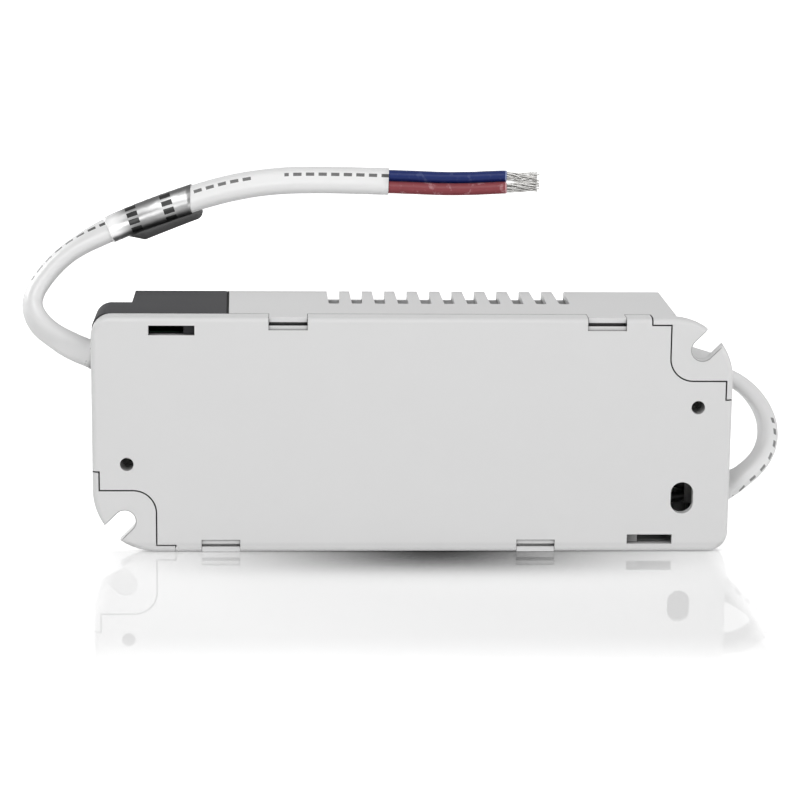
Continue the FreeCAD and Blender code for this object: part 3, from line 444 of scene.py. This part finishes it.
# how far and how strongly shade is painted into the hollows of each finish
housingPaintedShade = {"reach": 2.4 * mm, "depth": 1.6}
coverFinish = {"color": tone(68, 68, 70), "rough": 0.6, "mottle": 0.06, "grainScale": 5200,
               "grain": 0.3, "ior": 1.14}
coverScuffs = {"Scale": 900.0, "Threshold": 0.68, "Strength": 0.25}
clampFinish = {"color": tone(150), "rough": 0.4}
clampPaintedShade = {"reach": 6 * mm, "depth": 2.0}
sheathFinish = {"color": tone(229), "rough": 0.34, "mottle": 0.02, "mottleScale": 160,
                "grainScale": 2200, "grain": 0.12}
sheathPaintedShade = {"reach": 5 * mm, "depth": 1.5}
leadPrint = {"Pitch": 2.6 * mm, "Dash Share": 0.66, "Dashes": 11.0, "Gap Share": 0.21,
             "Half Height": 0.024}
inputPrint = {**leadPrint, "Row": 0.462, "Shift": 13.6 * mm, "First": 18 * mm}
outputPrint = {**leadPrint, "Row": 0.16, "Dash Share": 0.5, "Shift": 6.2 * mm, "Last": 19 * mm}
redScuffs = {"Scale": 620.0, "Threshold": 0.56, "Strength": 0.34}
blueScuffs = {**redScuffs, "Strength": 0.1}
coreCut = 0.3 * mm
blueFinish = {"color": tone(20, 38, 98), "ior": 1.3, "rough": 0.36, "mottle": 0.12,
              "mottleScale": 400, "grainScale": 2600}
redFinish = {"color": tone(132, 58, 64), "ior": 1.36, "rough": 0.38, "mottle": 0.14,
             "mottleScale": 400, "grainScale": 2600}
foilFinish = {"color": tone(220), "rough": 0.4, "mottle": 0.1, "mottleScale": 500,
              "grainScale": 900, "grain": 0.5, "grainDepth": 0.04 * mm, "metallic": 1.0}
# painted reflection and highlight of the mirror film: grey tones at shares of the way round the lead
foilPaintedReflection = [(0.04, 140), (0.18, 74), (0.27, 118), (0.31, 150), (0.38, 134), (0.415, 166),
             (0.455, 171), (0.485, 128), (0.53, 104), (0.60, 84), (0.75, 120), (0.88, 160)]
foilBars = {"Pitch": 7.6 * mm, "Dash Share": 0.3, "Gap Share": 0.0, "Row": 0.43,
            "Row Pitch": 0.105, "Half Height": 0.035, "Shift": 1.2 * mm}
foilPaleEnd = (41.0 * mm, 45.5 * mm)
copperFinish = {"color": tone(198, 118, 62), "rough": 0.25}
chokeCentre = tuple(sum(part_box("choke_core"), Vector()) / 2)

plainFinishes = {
    # the dark grey of the tail's silver film is a painted reflection
    "tailPaintedReflection": {"color": tone(84), "rough": 0.36, "mottle": 0.12, "mottleScale": 300,
                 "grainScale": 1200, "grain": 0.4},
    "innerCore": {"color": tone(42), "rough": 0.45, "mottle": 0.08},
    "sealFoam": {"color": tone(26), "rough": 0.85, "mottle": 0.15, "mottleScale": 900,
                 "grainScale": 2600, "grain": 0.5, "grainDepth": 0.04 * mm},
    "tinned": {"color": tone(182, 181, 179), "rough": 0.34, "spread": 0.12, "mottle": 0.2,
               "mottleScale": 900, "grainScale": 6000, "grain": 0.2, "metallic": 1.0},
    "screwSteel": {"color": tone(190, 190, 186), "rough": 0.32, "spread": 0.12, "mottle": 0.1,
                   "mottleScale": 400, "metallic": 1.0},
    "sheetBlack": {"color": tone(34), "rough": 0.5, "mottle": 0.08},
    "board": {"color": tone(26, 64, 40), "rough": 0.3, "mottle": 0.25, "mottleScale": 300,
              "coat": 0.3},
    "terminal": {"color": tone(52, 132, 82), "mottle": 0.06},
    "ceramic": {"color": tone(222, 218, 206), "rough": 0.35, "mottle": 0.06},
    "blueDip": {"color": tone(36, 84, 150), "rough": 0.28, "mottle": 0.1, "mottleScale": 200,
                "grainScale": 900, "grain": 0.4, "grainDepth": 0.06 * mm},
    "yellowBox": {"color": tone(214, 178, 62), "rough": 0.34, "mottle": 0.05},
    "redBox": {"color": tone(158, 62, 40), "rough": 0.34, "mottle": 0.05},
    "ferrite": {"color": tone(58, 58, 60), "rough": 0.55, "spread": 0.15, "mottle": 0.15,
                "mottleScale": 500, "grainScale": 2600, "grain": 0.5, "grainDepth": 0.04 * mm},
    "epoxy": {"color": tone(38), "rough": 0.5, "mottle": 0.08, "mottleScale": 300,
              "grainScale": 3000, "grain": 0.4},
    "bobbin": {"color": tone(60), "rough": 0.4, "mottle": 0.06},
    "sleeve": {"color": tone(34, 40, 62), "rough": 0.25, "mottle": 0.05},
    "aluminium": {"color": tone(200, 201, 203), "rough": 0.34, "spread": 0.15, "mottle": 0.08,
                  "mottleScale": 300, "grainScale": 3000, "grain": 0.3, "metallic": 1.0},
    "windingTape": {"color": tone(222, 186, 48), "rough": 0.25, "mottle": 0.08,
                    "mottleScale": 260, "coat": 0.2},
}

finishes = {name: makePlain(name, **finish) for name, finish in plainFinishes.items()}
finishes.update({
    "lightPlastic": makeWithPaintedHollowShade("lightPlastic", housingPaintedShade, **housingFinish),
    "darkPlastic": makeScuffed("darkPlastic", tone(150), coverScuffs, **coverFinish),
    "clampPlastic": makeWithPaintedHollowShade("clampPlastic", clampPaintedShade, **clampFinish),
    "inputSheath": makePrinted("inputSheath", tone(78), inputPrint, **sheathFinish),
    "outputSheath": makePrinted("outputSheath", tone(128), outputPrint, **sheathFinish),
    "plainSheath": makeWithPaintedHollowShade("plainSheath", sheathPaintedShade, **sheathFinish),
    "blueCore": makeScuffed("blueCore", tone(150, 160, 196), blueScuffs, coreCut, **blueFinish),
    "redCore": makeScuffed("redCore", tone(214, 168, 172), redScuffs, coreCut, **redFinish),
    "foil": makeFoil("foil", foilPaintedReflection, foilBars, tone(50), foilPaleEnd, **foilFinish),
    "ringWire": makeWound("ringWire", pitch=0.12, axis="ring", depth=0.5, centre=chokeCentre,
                          **copperFinish),
    "inductorWire": makeWound("inductorWire", pitch=0.45 * mm, axis="X", depth=0.45,
                              **copperFinish),
})
print("finishes made:", len(finishes))

nodeFinish = {
    "upper_housing": "lightPlastic", "base_tray": "lightPlastic", "output_cover": "lightPlastic",
    "input_cover": "darkPlastic", "cover_screws": "screwSteel", "clamp_screws": "screwSteel",
    "terminal_screws": "screwSteel", "input_cable_clamp": "clampPlastic",
    "output_cable_clamp": "clampPlastic", "insulating_sheet": "sheetBlack",
    "circuit_board": "board", "input_terminal": "terminal", "output_terminal": "terminal",
    "fuse": "ceramic", "varistor": "blueDip", "safety_capacitor": "blueDip",
    "suppression_capacitor": "yellowBox", "film_capacitor": "redBox", "choke_core": "ferrite",
    "choke_windings": "ringWire", "bridge_rectifier": "epoxy", "inductor_core": "ferrite",
    "inductor_bobbin": "bobbin", "inductor_winding": "inductorWire",
    "transformer_core": "ferrite", "transformer_bobbin": "bobbin",
    "transformer_winding": "windingTape", "bulk_capacitor": "sleeve",
    "output_capacitors": "sleeve", "heatsink": "aluminium", "power_transistor": "epoxy",
    "output_diode": "epoxy", "optocoupler": "epoxy", "control_chip": "epoxy",
    "input_cord_inner": "plainSheath", "output_cord_inner": "plainSheath",
    "input_inner_cores": "innerCore", "output_inner_cores": "innerCore",
}
for name, finish in nodeFinish.items():
    nodes[name].data.materials.clear()
    nodes[name].data.materials.append(finishes[finish])
print("node finishes set:", len(nodeFinish))

# Leads: flat two-core cables that leave the terminal covers, stand free and are stripped at the end
# Their steps are in mm from the exit, and lean gives degrees at shares of the length
# A core's route has mm along and up from the end of the sheath, and a share of the spacing
leadSize = {"width": 5.8 * mm, "thickness": 3.5 * mm, "roundSteps": 9, "flatSteps": 4,
            "unevenness": 0.012, "noiseScale": 260, "tuck": 1.6 * mm, "tuckGrowth": 1.06}
inputLead = {
    "exit": (-67.2 * mm, -5.0 * mm, 39.75 * mm),
    "steps": [(0, 0, 0), (-4.2, 0, 1.55), (-11.3, 0, 6.85), (-11.9, 4.4, 12.55), (-2.3, 7.2, 22.55),
              (22.9, 7.6, 32.15), (36.5, 6.6, 35.25), (49.7, 5.6, 35.75), (62.3, 5.0, 35.45)],
    "length": 99.7 * mm,
    "lean": [(0.0, 0), (0.10, 35), (0.20, 74), (0.30, 76), (0.42, 45), (0.55, 33), (1.0, 31)],
    "blueSide": 1,
    "coreRoute": [(-2.0, 0.0, 1.0), (4.0, 0.05, 1.0), (10.0, -0.05, 1.0), (16.0, 0.12, 1.0),
                  (21.5, 0.55, 1.0), (24.6, 0.8, 0.98), (31.8, 0.85, 0.72)],
}
outputLead = {
    "exit": (67.2 * mm, -5.0 * mm, 11.4 * mm),
    "steps": [(0, 0, 0), (4.4, 0, 2.4), (9.3, 4.0, 7.2), (10.1, 11.0, 12.8), (6.4, 19.0, 18.0),
              (-0.8, 25.5, 20.2), (-11.2, 29.2, 17.2), (-21.7, 31.8, 8.2), (-31.7, 33.4, -2.2),
              (-42.7, 33.8, -8.3), (-53.7, 32.6, -8.2)],
    "length": 103.9 * mm,
    "lean": [(0.0, 44), (0.04, 72), (0.10, 78), (0.16, 80), (0.5, 80), (0.8, 70), (1.0, 70)],
    "blueSide": 1,
    "coreRoute": [(-2.0, 0.0, 1.0), (6.0, 0.0, 1.0), (16.0, 0.1, 1.0), (24.6, 0.2, 1.05),
                  (31.8, 0.3, 1.2)],
}
coreSize = {"diameter": 2.5 * mm, "spacing": 2.6 * mm, "length": 24.6 * mm, "sides": 18,
            "hidden": 2 * mm, "unevenness": 0.02, "noiseScale": 420, "cutShrink": 0.94}
strandSize = {"wires": 17, "diameter": 0.29 * mm, "tuck": 0.6 * mm, "length": 6.6 * mm,
              "uneven": 0.5 * mm, "spread": (0.56 * mm, 0.74 * mm), "flatten": 1.75,
              "turns": 0.3, "turnStep": 2.4, "waver": 0.5, "sides": 6, "seeds": (0.3, 1.9),
              "unevenStep": (0.73, 0.4), "waverStep": (1.7, 2.2)}
foilSize = {"start": 39.6 * mm, "end": 57.6 * mm, "slant": 1.6 * mm, "inner": 0.06 * mm,
            "outer": 0.22 * mm, "wrinkle": 0.07 * mm, "noiseScale": 900, "roundSteps": 14,
            "flatSteps": 8, "tailStart": 42.6 * mm, "tailEnd": 59.8 * mm,
            "tailThickness": 0.3 * mm,
            # how many mm the tail hangs down, at shares of its length
            "drop": [(0.0, 0.0), (0.2, 2.1), (0.92, 1.6), (0.97, 1.2), (1.0, 0.4)]}
lineSteps = {"sheath": 16, "core": 24, "foil": 48}      # steps read on each stretch of a route
nearest = 0.001 * mm      # points of a line that are closer than this count as one


def routeCurve(name, points, resolution):
    # a smooth line with the route's points as its control points
    data = bpy.data.curves.new(name, "CURVE")
    data.dimensions = "3D"
    data.resolution_u = resolution
    spline = data.splines.new("NURBS")
    spline.points.add(len(points) - 1)
    for point, place in zip(spline.points, points):
        point.co = (*place, 1)
    spline.order_u = 3
    spline.use_endpoint_u = True
    curve = bpy.data.objects.new(name, data)
    bpy.context.scene.collection.objects.link(curve)
    return curve


def readLine(points, resolution):
    # the smooth line of a route, read in steps, with each point's distance from the start
    curve = routeCurve("routeLine", points, resolution)
    mesh = bpy.data.meshes.new_from_object(curve)
    line = [vert.co.copy() for vert in mesh.vertices]
    bpy.data.objects.remove(curve)
    bpy.data.meshes.remove(mesh)
    clean = [line[0]]
    for place in line[1:]:
        if (place - clean[-1]).length > nearest:
            clean.append(place)
    travel = [0.0]
    for first, second in zip(clean, clean[1:]):
        travel.append(travel[-1] + (second - first).length)
    return clean, travel


def between(table, share):
    # smooth value between the (share, value) rows of a table
    for (start, first), (end, second) in zip(table, table[1:]):
        if share <= end:
            part = (share - start) / (end - start)
            return first + (second - first) * part * part * (3 - 2 * part)
    return table[-1][1]


def straightBetween(table, share):
    # value on the straight lines between the (share, value) rows of a table
    for (start, first), (end, second) in zip(table, table[1:]):
        if share <= end:
            return first + (second - first) * (share - start) / (end - start)
    return table[-1][1]


def viewAxis(way):
    # the axis across a line that lies in the picture plane
    return way.cross(Vector((0, 1, 0))).normalized()


def directions(line):
    return [(line[min(index + 1, len(line) - 1)] - line[max(index - 1, 0)]).normalized()
            for index in range(len(line))]


def frames(line, startWide):
    # place, direction and an untwisted wide axis at each point of a line
    rows = []
    wide = Vector(startWide)
    for place, way in zip(line, directions(line)):
        wide = (wide - way * wide.dot(way)).normalized()
        rows.append((place, way, wide.copy()))
    return rows


def flatSection(width, thickness, roundSteps, flatSteps):
    # outline of a flat cable with rounded sides, as (across, through): it starts below, and its
    # flat side towards the camera follows the first rounded side
    radius = thickness / 2
    flat = width / 2 - radius
    outline = []
    for side in (-1, 1):
        for index in range(roundSteps):
            angle = math.pi * (side / 2 - index / roundSteps)
            outline.append((side * flat + radius * math.cos(angle), radius * math.sin(angle)))
        for index in range(flatSteps):
            outline.append((side * flat * (1 - 2 * index / flatSteps), -side * radius))
    return outline


def roundSection(radius, sides):
    turn = 2 * math.pi / sides
    return [(radius * math.cos(turn * index), -radius * math.sin(turn * index))
            for index in range(sides)]


def sharesRound(outline):
    # share of the way round at each point of a closed outline, and 1 back at its start
    parts = [math.dist(first, second) for first, second in zip(outline, outline[1:] + outline[:1])]
    shares = [0.0]
    for part in parts:
        shares.append(shares[-1] + part / sum(parts))
    return shares


def addSkin(mesh, rows, outlines, travel):
    # a ring of points for each row, with faces between them: UV is the distance along and the
    # share of the way round
    layer = mesh.loops.layers.uv.verify()
    shares = sharesRound(outlines[0])
    rings = []
    for (place, way, wide), outline in zip(rows, outlines):
        thin = way.cross(wide)
        rings.append([mesh.verts.new(place + wide * across + thin * through)
                      for across, through in outline])
    count = len(rings[0])
    for row, (ring, following) in enumerate(zip(rings, rings[1:])):
        for here in range(count):
            beside = (here + 1) % count
            face = mesh.faces.new((ring[here], ring[beside], following[beside], following[here]))
            face.smooth = True
            corners = ((row, here), (row, here + 1), (row + 1, here + 1), (row + 1, here))
            for loop, (at, step) in zip(face.loops, corners):
                loop[layer].uv = (travel[at], shares[step])
    return rings


def addRod(mesh, rows, outlines, travel):
    rings = addSkin(mesh, rows, outlines, travel)
    mesh.faces.new(list(reversed(rings[0])))
    mesh.faces.new(rings[-1])


def addSleeve(mesh, rows, outlines, hollows, travel):
    outer = addSkin(mesh, rows, outlines, travel)
    inner = addSkin(mesh, rows, hollows, travel)
    for outerRing, innerRing in ((outer[0], inner[0]), (outer[-1], inner[-1])):
        for here in range(len(outerRing)):
            mesh.faces.new((outerRing[here - 1], outerRing[here], innerRing[here],
                            innerRing[here - 1]))
    return outer, inner


def finishPiece(name, mesh, finish, node):
    # the object made from a mesh, riding on the body in the place of a CAD node
    bmesh.ops.recalc_face_normals(mesh, faces=mesh.faces)
    data = bpy.data.meshes.new(name)
    mesh.to_mesh(data)
    mesh.free()
    data.materials.append(finishes[finish])
    piece = bpy.data.objects.new(name, data)
    bpy.context.scene.collection.objects.link(piece)
    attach(piece, "root")
    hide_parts(node)
    return piece


def leadRows(lead, resolution):
    origin = Vector(lead["exit"])
    line, travel = readLine([origin + Vector(step) * mm for step in lead["steps"]], resolution)
    rows = []
    for place, way, distance in zip(line, directions(line), travel):
        # the wide axis leans out of the picture plane by the table's angle
        lean = math.radians(between(lead["lean"], distance / travel[-1]))
        across = viewAxis(way)
        rows.append((place, way, across * math.cos(lean) + across.cross(way) * math.sin(lean)))
    return rows, travel


def stretch(rows, travel, start, end):
    # the rows between two distances along a line
    chosen = [index for index, distance in enumerate(travel) if start <= distance <= end]
    return [rows[index] for index in chosen], [travel[index] for index in chosen]


def scaled(outline, factor):
    return [(across * factor, through * factor) for across, through in outline]


def makeSheath(name, lead, node, finish):
    rows, travel = leadRows(lead, lineSteps["sheath"])
    outline = flatSection(leadSize["width"], leadSize["thickness"], leadSize["roundSteps"],
                          leadSize["flatSteps"])
    outlines = [scaled(outline, 1 + leadSize["unevenness"]
                       * noise.noise(row[0] * leadSize["noiseScale"])) for row in rows]
    # the sheath begins inside the cover's opening, round the part that is clamped
    place, way, wide = rows[0]
    tucked = (place - way * leadSize["tuck"], way, wide)
    mesh = bmesh.new()
    addRod(mesh, [tucked] + rows, [scaled(outline, leadSize["tuckGrowth"])] + outlines,
           [-leadSize["tuck"]] + travel)
    return finishPiece(name, mesh, finish, node), rows, travel


def coreLine(lead, rows, side):
    # the smooth line of one core and its strands, past the end of the sheath
    tip, way, wide = rows[-1]
    across = wide * side
    points = [tip + way * along * mm + across * (coreSize["spacing"] / 2 * gather)
              + Vector((0, 0, rise * mm)) for along, rise, gather in lead["coreRoute"]]
    line, travel = readLine(points, lineSteps["core"])
    return frames(line, across), travel


def makeCore(name, lead, rows, side, finish, node):
    line, travel = coreLine(lead, rows, side)
    line, travel = stretch(line, travel, 0, coreSize["length"] + coreSize["hidden"])
    outline = roundSection(coreSize["diameter"] / 2, coreSize["sides"])
    outlines = [scaled(outline, 1 + coreSize["unevenness"]
                       * noise.noise(row[0] * coreSize["noiseScale"])) for row in line]
    outlines[-1] = scaled(outline, coreSize["cutShrink"])
    mesh = bmesh.new()
    addRod(mesh, line, outlines, [travel[-1] - distance for distance in travel])
    return finishPiece(name, mesh, finish, node)


def addWires(mesh, line, travel, seed):
    # one bundle of fine wires, slightly twisted, that fan out a little towards uneven tips
    first = coreSize["length"] + coreSize["hidden"] - strandSize["tuck"]
    spreadFirst, spreadLast = strandSize["spread"]
    unevenStep, unevenPlace = strandSize["unevenStep"]
    waverStep, waverRate = strandSize["waverStep"]
    outline = roundSection(strandSize["diameter"] / 2, strandSize["sides"])
    for wire in range(strandSize["wires"]):
        reach = strandSize["tuck"] + strandSize["length"] + strandSize["uneven"] * noise.noise(
            Vector((wire * unevenStep, seed, unevenPlace)))
        rows, distances = stretch(line, travel, first, first + reach)
        out = math.sqrt((wire + 0.5) / strandSize["wires"])
        places = []
        for (place, way, wide), distance in zip(rows, distances):
            share = (distance - first) / reach
            angle = wire * strandSize["turnStep"] + seed + 2 * math.pi * strandSize["turns"] * share
            angle += strandSize["waver"] * noise.noise(
                Vector((wire * waverStep, share * waverRate, seed)))
            spread = out * (spreadFirst + (spreadLast - spreadFirst) * share)
            thin = way.cross(wide)
            places.append(place + wide * (spread * math.cos(angle) * strandSize["flatten"])
                          + thin * (spread * math.sin(angle)))
        addRod(mesh, frames(places, rows[0][2]), [outline] * len(places), distances)


def makeStrands(name, lead, rows, node):
    mesh = bmesh.new()
    for side, seed in zip((1, -1), strandSize["seeds"]):
        line, travel = coreLine(lead, rows, side)
        addWires(mesh, line, travel, seed)
    return finishPiece(name, mesh, "tinned", node)


def makeFoilBand(lead):
    rows, travel = stretch(*leadRows(lead, lineSteps["foil"]), foilSize["start"], foilSize["end"])
    steps = (foilSize["roundSteps"], foilSize["flatSteps"])
    outlines = []
    hollows = []
    for place, way, wide in rows:
        thin = way.cross(wide)
        outline = []
        for across, through in flatSection(leadSize["width"] + 2 * foilSize["outer"],
                                           leadSize["thickness"] + 2 * foilSize["outer"], *steps):
            spot = place + wide * across + thin * through
            crease = 1 + foilSize["wrinkle"] / leadSize["thickness"] * noise.noise(
                spot * foilSize["noiseScale"])
            outline.append((across * crease, through * crease))
        outlines.append(outline)
        hollows.append(flatSection(leadSize["width"] + 2 * foilSize["inner"],
                                   leadSize["thickness"] + 2 * foilSize["inner"], *steps))
    mesh = bmesh.new()
    outer, inner = addSleeve(mesh, rows, outlines, hollows, travel)
    # the film is cut at a slant at its far end
    place, way, wide = rows[-1]
    for vert in outer[-1] + inner[-1]:
        share = (vert.co - place).dot(wide) / leadSize["width"] + 0.5
        vert.co += way * (foilSize["slant"] * min(1, max(0, share)))
    return finishPiece("foil_marker", mesh, "foil", "cord_foil")


def makeFoilTail(lead):
    # folded tail of the marker that hangs from the lower edge of the lead; its dark grey is a
    # painted reflection in the silver film
    rows, travel = stretch(*leadRows(lead, lineSteps["foil"]), foilSize["tailStart"],
                           foilSize["tailEnd"])
    half = foilSize["tailThickness"] / 2
    edge = leadSize["thickness"] / 2
    spans = []
    outlines = []
    for (place, way, wide), distance in zip(rows, travel):
        share = (distance - travel[0]) / (travel[-1] - travel[0])
        low = edge + straightBetween(foilSize["drop"], share) * mm
        spans.append((place - wide * (leadSize["width"] / 2 - edge), way, -viewAxis(way)))
        outlines.append([(0, half), (low, half), (low, -half), (0, -half)])
    mesh = bmesh.new()
    addRod(mesh, spans, outlines, travel)
    return finishPiece("foil_tail", mesh, "tailPaintedReflection", "foil_flag")


inputSheath, inputRows, inputTravel = makeSheath("input_sheath", inputLead, "input_cord",
                                                 "inputSheath")
outputSheath, outputRows, outputTravel = makeSheath("output_sheath", outputLead, "output_cord",
                                                    "outputSheath")
print("sheaths made:", round(inputTravel[-1] / mm, 1), round(outputTravel[-1] / mm, 1), "mm")

inputPieces = [makeFoilBand(inputLead), makeFoilTail(inputLead)]
outputPieces = []
for label, lead, rows, pieces in (("input", inputLead, inputRows, inputPieces),
                                  ("output", outputLead, outputRows, outputPieces)):
    blue = lead["blueSide"]
    pieces.append(makeCore(label + "_blue_core", lead, rows, blue, "blueCore", label + "_core_blue"))
    pieces.append(makeCore(label + "_red_core", lead, rows, -blue, "redCore", label + "_core_red"))
    pieces.append(makeStrands(label + "_wires", lead, rows, label + "_strands"))
print("stripped ends made")

# Foam strips in the slanted seams between the terminal covers and the housing
sealLook = {
    "inner": 38.1 * mm,      # from the body's middle to the housing's side of the seam
    "width": 0.5 * mm,
    "lean": (0.21 * mm, -0.29 * mm),      # how far the front and back ends stand to the side
    "length": (-11.9 * mm, 16.3 * mm),
    "height": (48.0 * mm, 49.1 * mm),
    "crownInset": 0.12 * mm,
    "crownHeight": 0.1 * mm,
    "bevel": 0.05 * mm,
    "bevelSegments": 2,
    "smoothAngle": 30,
}
turnCentre = (0, 0, 24.75 * mm)      # the body repeats itself by a half turn round here


def pickFaces(piece, way, side):
    # selects the faces that look along an axis, one way
    facing = 0.9      # least share of a face's normal along the axis
    bpy.ops.mesh.select_mode(type="FACE")
    bpy.ops.mesh.select_all(action="DESELECT")
    mesh = bmesh.from_edit_mesh(piece.data)
    for face in mesh.faces:
        face.select_set(face.normal[way] * side > facing)
    bmesh.update_edit_mesh(piece.data)


def makeSeal(name, look, turns):
    # a thin strip with a raised crown, slanted as the seam is, and turned round for the other end
    front, back = look["length"]
    foot, top = look["height"]
    bpy.ops.object.select_all(action="DESELECT")
    bpy.ops.mesh.primitive_cube_add(
        size=1, location=(-look["inner"] - look["width"] / 2, (front + back) / 2, (foot + top) / 2),
        scale=(look["width"], back - front, top - foot))
    seal = bpy.context.object
    seal.name = name
    bpy.ops.object.transform_apply(location=True, rotation=True, scale=True)
    bpy.ops.object.mode_set(mode="EDIT")
    for side, lean in zip((-1, 1), look["lean"]):
        pickFaces(seal, 1, side)
        bpy.ops.transform.translate(value=(lean, 0, 0))
    pickFaces(seal, 2, 1)
    bpy.ops.mesh.inset(thickness=look["crownInset"], depth=look["crownHeight"])
    bpy.ops.mesh.select_all(action="SELECT")
    bpy.ops.transform.rotate(value=math.pi * turns, orient_axis="Y", center_override=turnCentre)
    bpy.ops.object.mode_set(mode="OBJECT")
    edges = seal.modifiers.new("edges", "BEVEL")
    edges.width = look["bevel"]
    edges.segments = look["bevelSegments"]
    edges.limit_method = "ANGLE"
    bpy.ops.object.modifier_apply(modifier="edges")
    bpy.ops.object.shade_smooth_by_angle(angle=math.radians(look["smoothAngle"]))
    seal.data.materials.append(finishes["sealFoam"])
    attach(seal, "root")
    return seal


makeSeal("input_cover_seal", sealLook, 0)
makeSeal("output_cover_seal", sealLook, 1)
print("seam strips made")

# Stage: a white glossy floor, a white surround and soft lamps, with distances in metres
stageLook = {
    "floorHalf": 3.0,
    "floorDrop": 0.1 * mm,
    "floorTone": tone(236),
    "floorRoughness": 0.02,
    "glowNear": 0.215,
    "glowFar": 0.9,
    "mirrorLevel": 0.8,
    "mirrorSide": (0.060, 0.073),
    "mirrorFront": (0.072, 0.13),
    "mirrorBack": (0.012, 0.016),
    "shadowReach": 0.028,
    "shadowRange": (0.05, 0.36),
    "shadowDepth": 0.96,
    "shadowHalfLength": 0.040,
    "shadowCentre": 0.005,
    "worldStrength": 0.27,
}
lampAim = (0, 0, 0.03)
lamps = [
    {"name": "keyLamp", "place": (-0.28, -0.68, 0.80), "size": 0.6, "power": 5.75},
    {"name": "fillLamp", "place": (0.40, -0.92, 0.16), "size": 0.5, "power": 1.7},
    {"name": "sideLamp", "place": (0.82, -0.28, 0.10), "size": 0.4, "power": 2.0},
    {"name": "backLamp", "place": (-0.74, 0.60, 0.36), "size": 0.5, "power": 3.0},
]


def makeFloorShades(look, tree, place):
    # the painted contact shadow, from how closely the object stands over the floor, and how
    # much the mirror image fades
    closeness = addNode(tree, "AmbientOcclusion", samples=12)
    closeness.inputs["Distance"].default_value = look["shadowReach"]
    closed = calc(tree, "SUBTRACT", 1.0, closeness.outputs["AO"])
    soft = rangeOf(tree, closed, look["shadowRange"])
    beside = calc(tree, "SUBTRACT", place.outputs["X"], look["shadowCentre"])
    along = calc(tree, "POWER", calc(tree, "DIVIDE", beside, look["shadowHalfLength"]), 2.0)
    middle = calc(tree, "EXPONENT", calc(tree, "MULTIPLY", along, -1.0))
    dark = calc(tree, "MULTIPLY", calc(tree, "MULTIPLY", soft, middle), look["shadowDepth"])
    # the mirror image lies in front of the object only
    ahead = calc(tree, "MULTIPLY", place.outputs["Y"], -1.0)
    sideFade = rangeOf(tree, calc(tree, "ABSOLUTE", place.outputs["X"]), look["mirrorSide"])
    frontFade = rangeOf(tree, ahead, look["mirrorFront"])
    backFade = rangeOf(tree, ahead, look["mirrorBack"], (1, 0))
    return dark, calc(tree, "MAXIMUM", calc(tree, "MAXIMUM", sideFade, frontFade), backFade)


def makeFloor(look):
    bpy.ops.object.select_all(action="DESELECT")
    bpy.ops.mesh.primitive_plane_add(size=2 * look["floorHalf"],
                                     location=(0, 0, -look["floorDrop"]))
    floor = bpy.context.object
    floor.name = "floor"
    mat = bpy.data.materials.new("floorWhite")
    mat.use_nodes = True
    tree = mat.node_tree
    shader = tree.nodes["Principled BSDF"]
    shader.inputs["Roughness"].default_value = look["floorRoughness"]
    coords = addNode(tree, "TexCoord")
    place = addNode(tree, "SeparateXYZ")
    tree.links.new(coords.outputs["Object"], place.inputs[0])
    shade, fade = makeFloorShades(look, tree, place)
    rays = addNode(tree, "LightPath")
    seen = calc(tree, "MAXIMUM", rays.outputs["Is Camera Ray"], rays.outputs["Is Glossy Ray"])
    # only what is seen of the floor is darkened, so that its bounced light stays even
    lit = calc(tree, "SUBTRACT", 1.0, calc(tree, "MULTIPLY", shade, seen))
    base = addNode(tree, "RGB")
    base.outputs[0].default_value = look["floorTone"]
    tree.links.new(shaded(tree, base.outputs[0], lit), shader.inputs["Base Color"])
    kept = calc(tree, "SUBTRACT", 1.0, fade)
    mirror = calc(tree, "MULTIPLY", kept, calc(tree, "MULTIPLY", lit, look["mirrorLevel"]))
    tree.links.new(mirror, shader.inputs["Specular IOR Level"])
    glow = calc(tree, "MULTIPLY_ADD", fade, look["glowFar"] - look["glowNear"], look["glowNear"])
    shader.inputs["Emission Color"].default_value = (1, 1, 1, 1)
    tree.links.new(calc(tree, "MULTIPLY", calc(tree, "MULTIPLY", glow, lit), seen),
                   shader.inputs["Emission Strength"])
    floor.data.materials.append(mat)


def makeWorld(look):
    world = bpy.data.worlds.new("whiteRoom")
    bpy.context.scene.world = world
    world.use_nodes = True
    tree = world.node_tree
    back = tree.nodes["Background"]
    back.inputs["Color"].default_value = (1, 1, 1, 1)
    rays = addNode(tree, "LightPath")
    seen = calc(tree, "MAXIMUM", rays.outputs["Is Camera Ray"], rays.outputs["Is Glossy Ray"])
    seen = calc(tree, "MAXIMUM", seen, rays.outputs["Is Transmission Ray"])
    strength = calc(tree, "MULTIPLY_ADD", seen, 1 - look["worldStrength"], look["worldStrength"])
    tree.links.new(strength, back.inputs["Strength"])


def makeLamp(lamp):
    data = bpy.data.lights.new(lamp["name"], "AREA")
    data.energy = lamp["power"]
    data.size = lamp["size"]
    light = bpy.data.objects.new(lamp["name"], data)
    bpy.context.scene.collection.objects.link(light)
    light.location = lamp["place"]
    aim = Vector(lampAim) - Vector(lamp["place"])
    light.rotation_euler = aim.to_track_quat("-Z", "Y").to_euler()


makeFloor(stageLook)
makeWorld(stageLook)
for lamp in lamps:
    makeLamp(lamp)
bpy.context.scene.view_settings.view_transform = "Standard"
print("stage made")
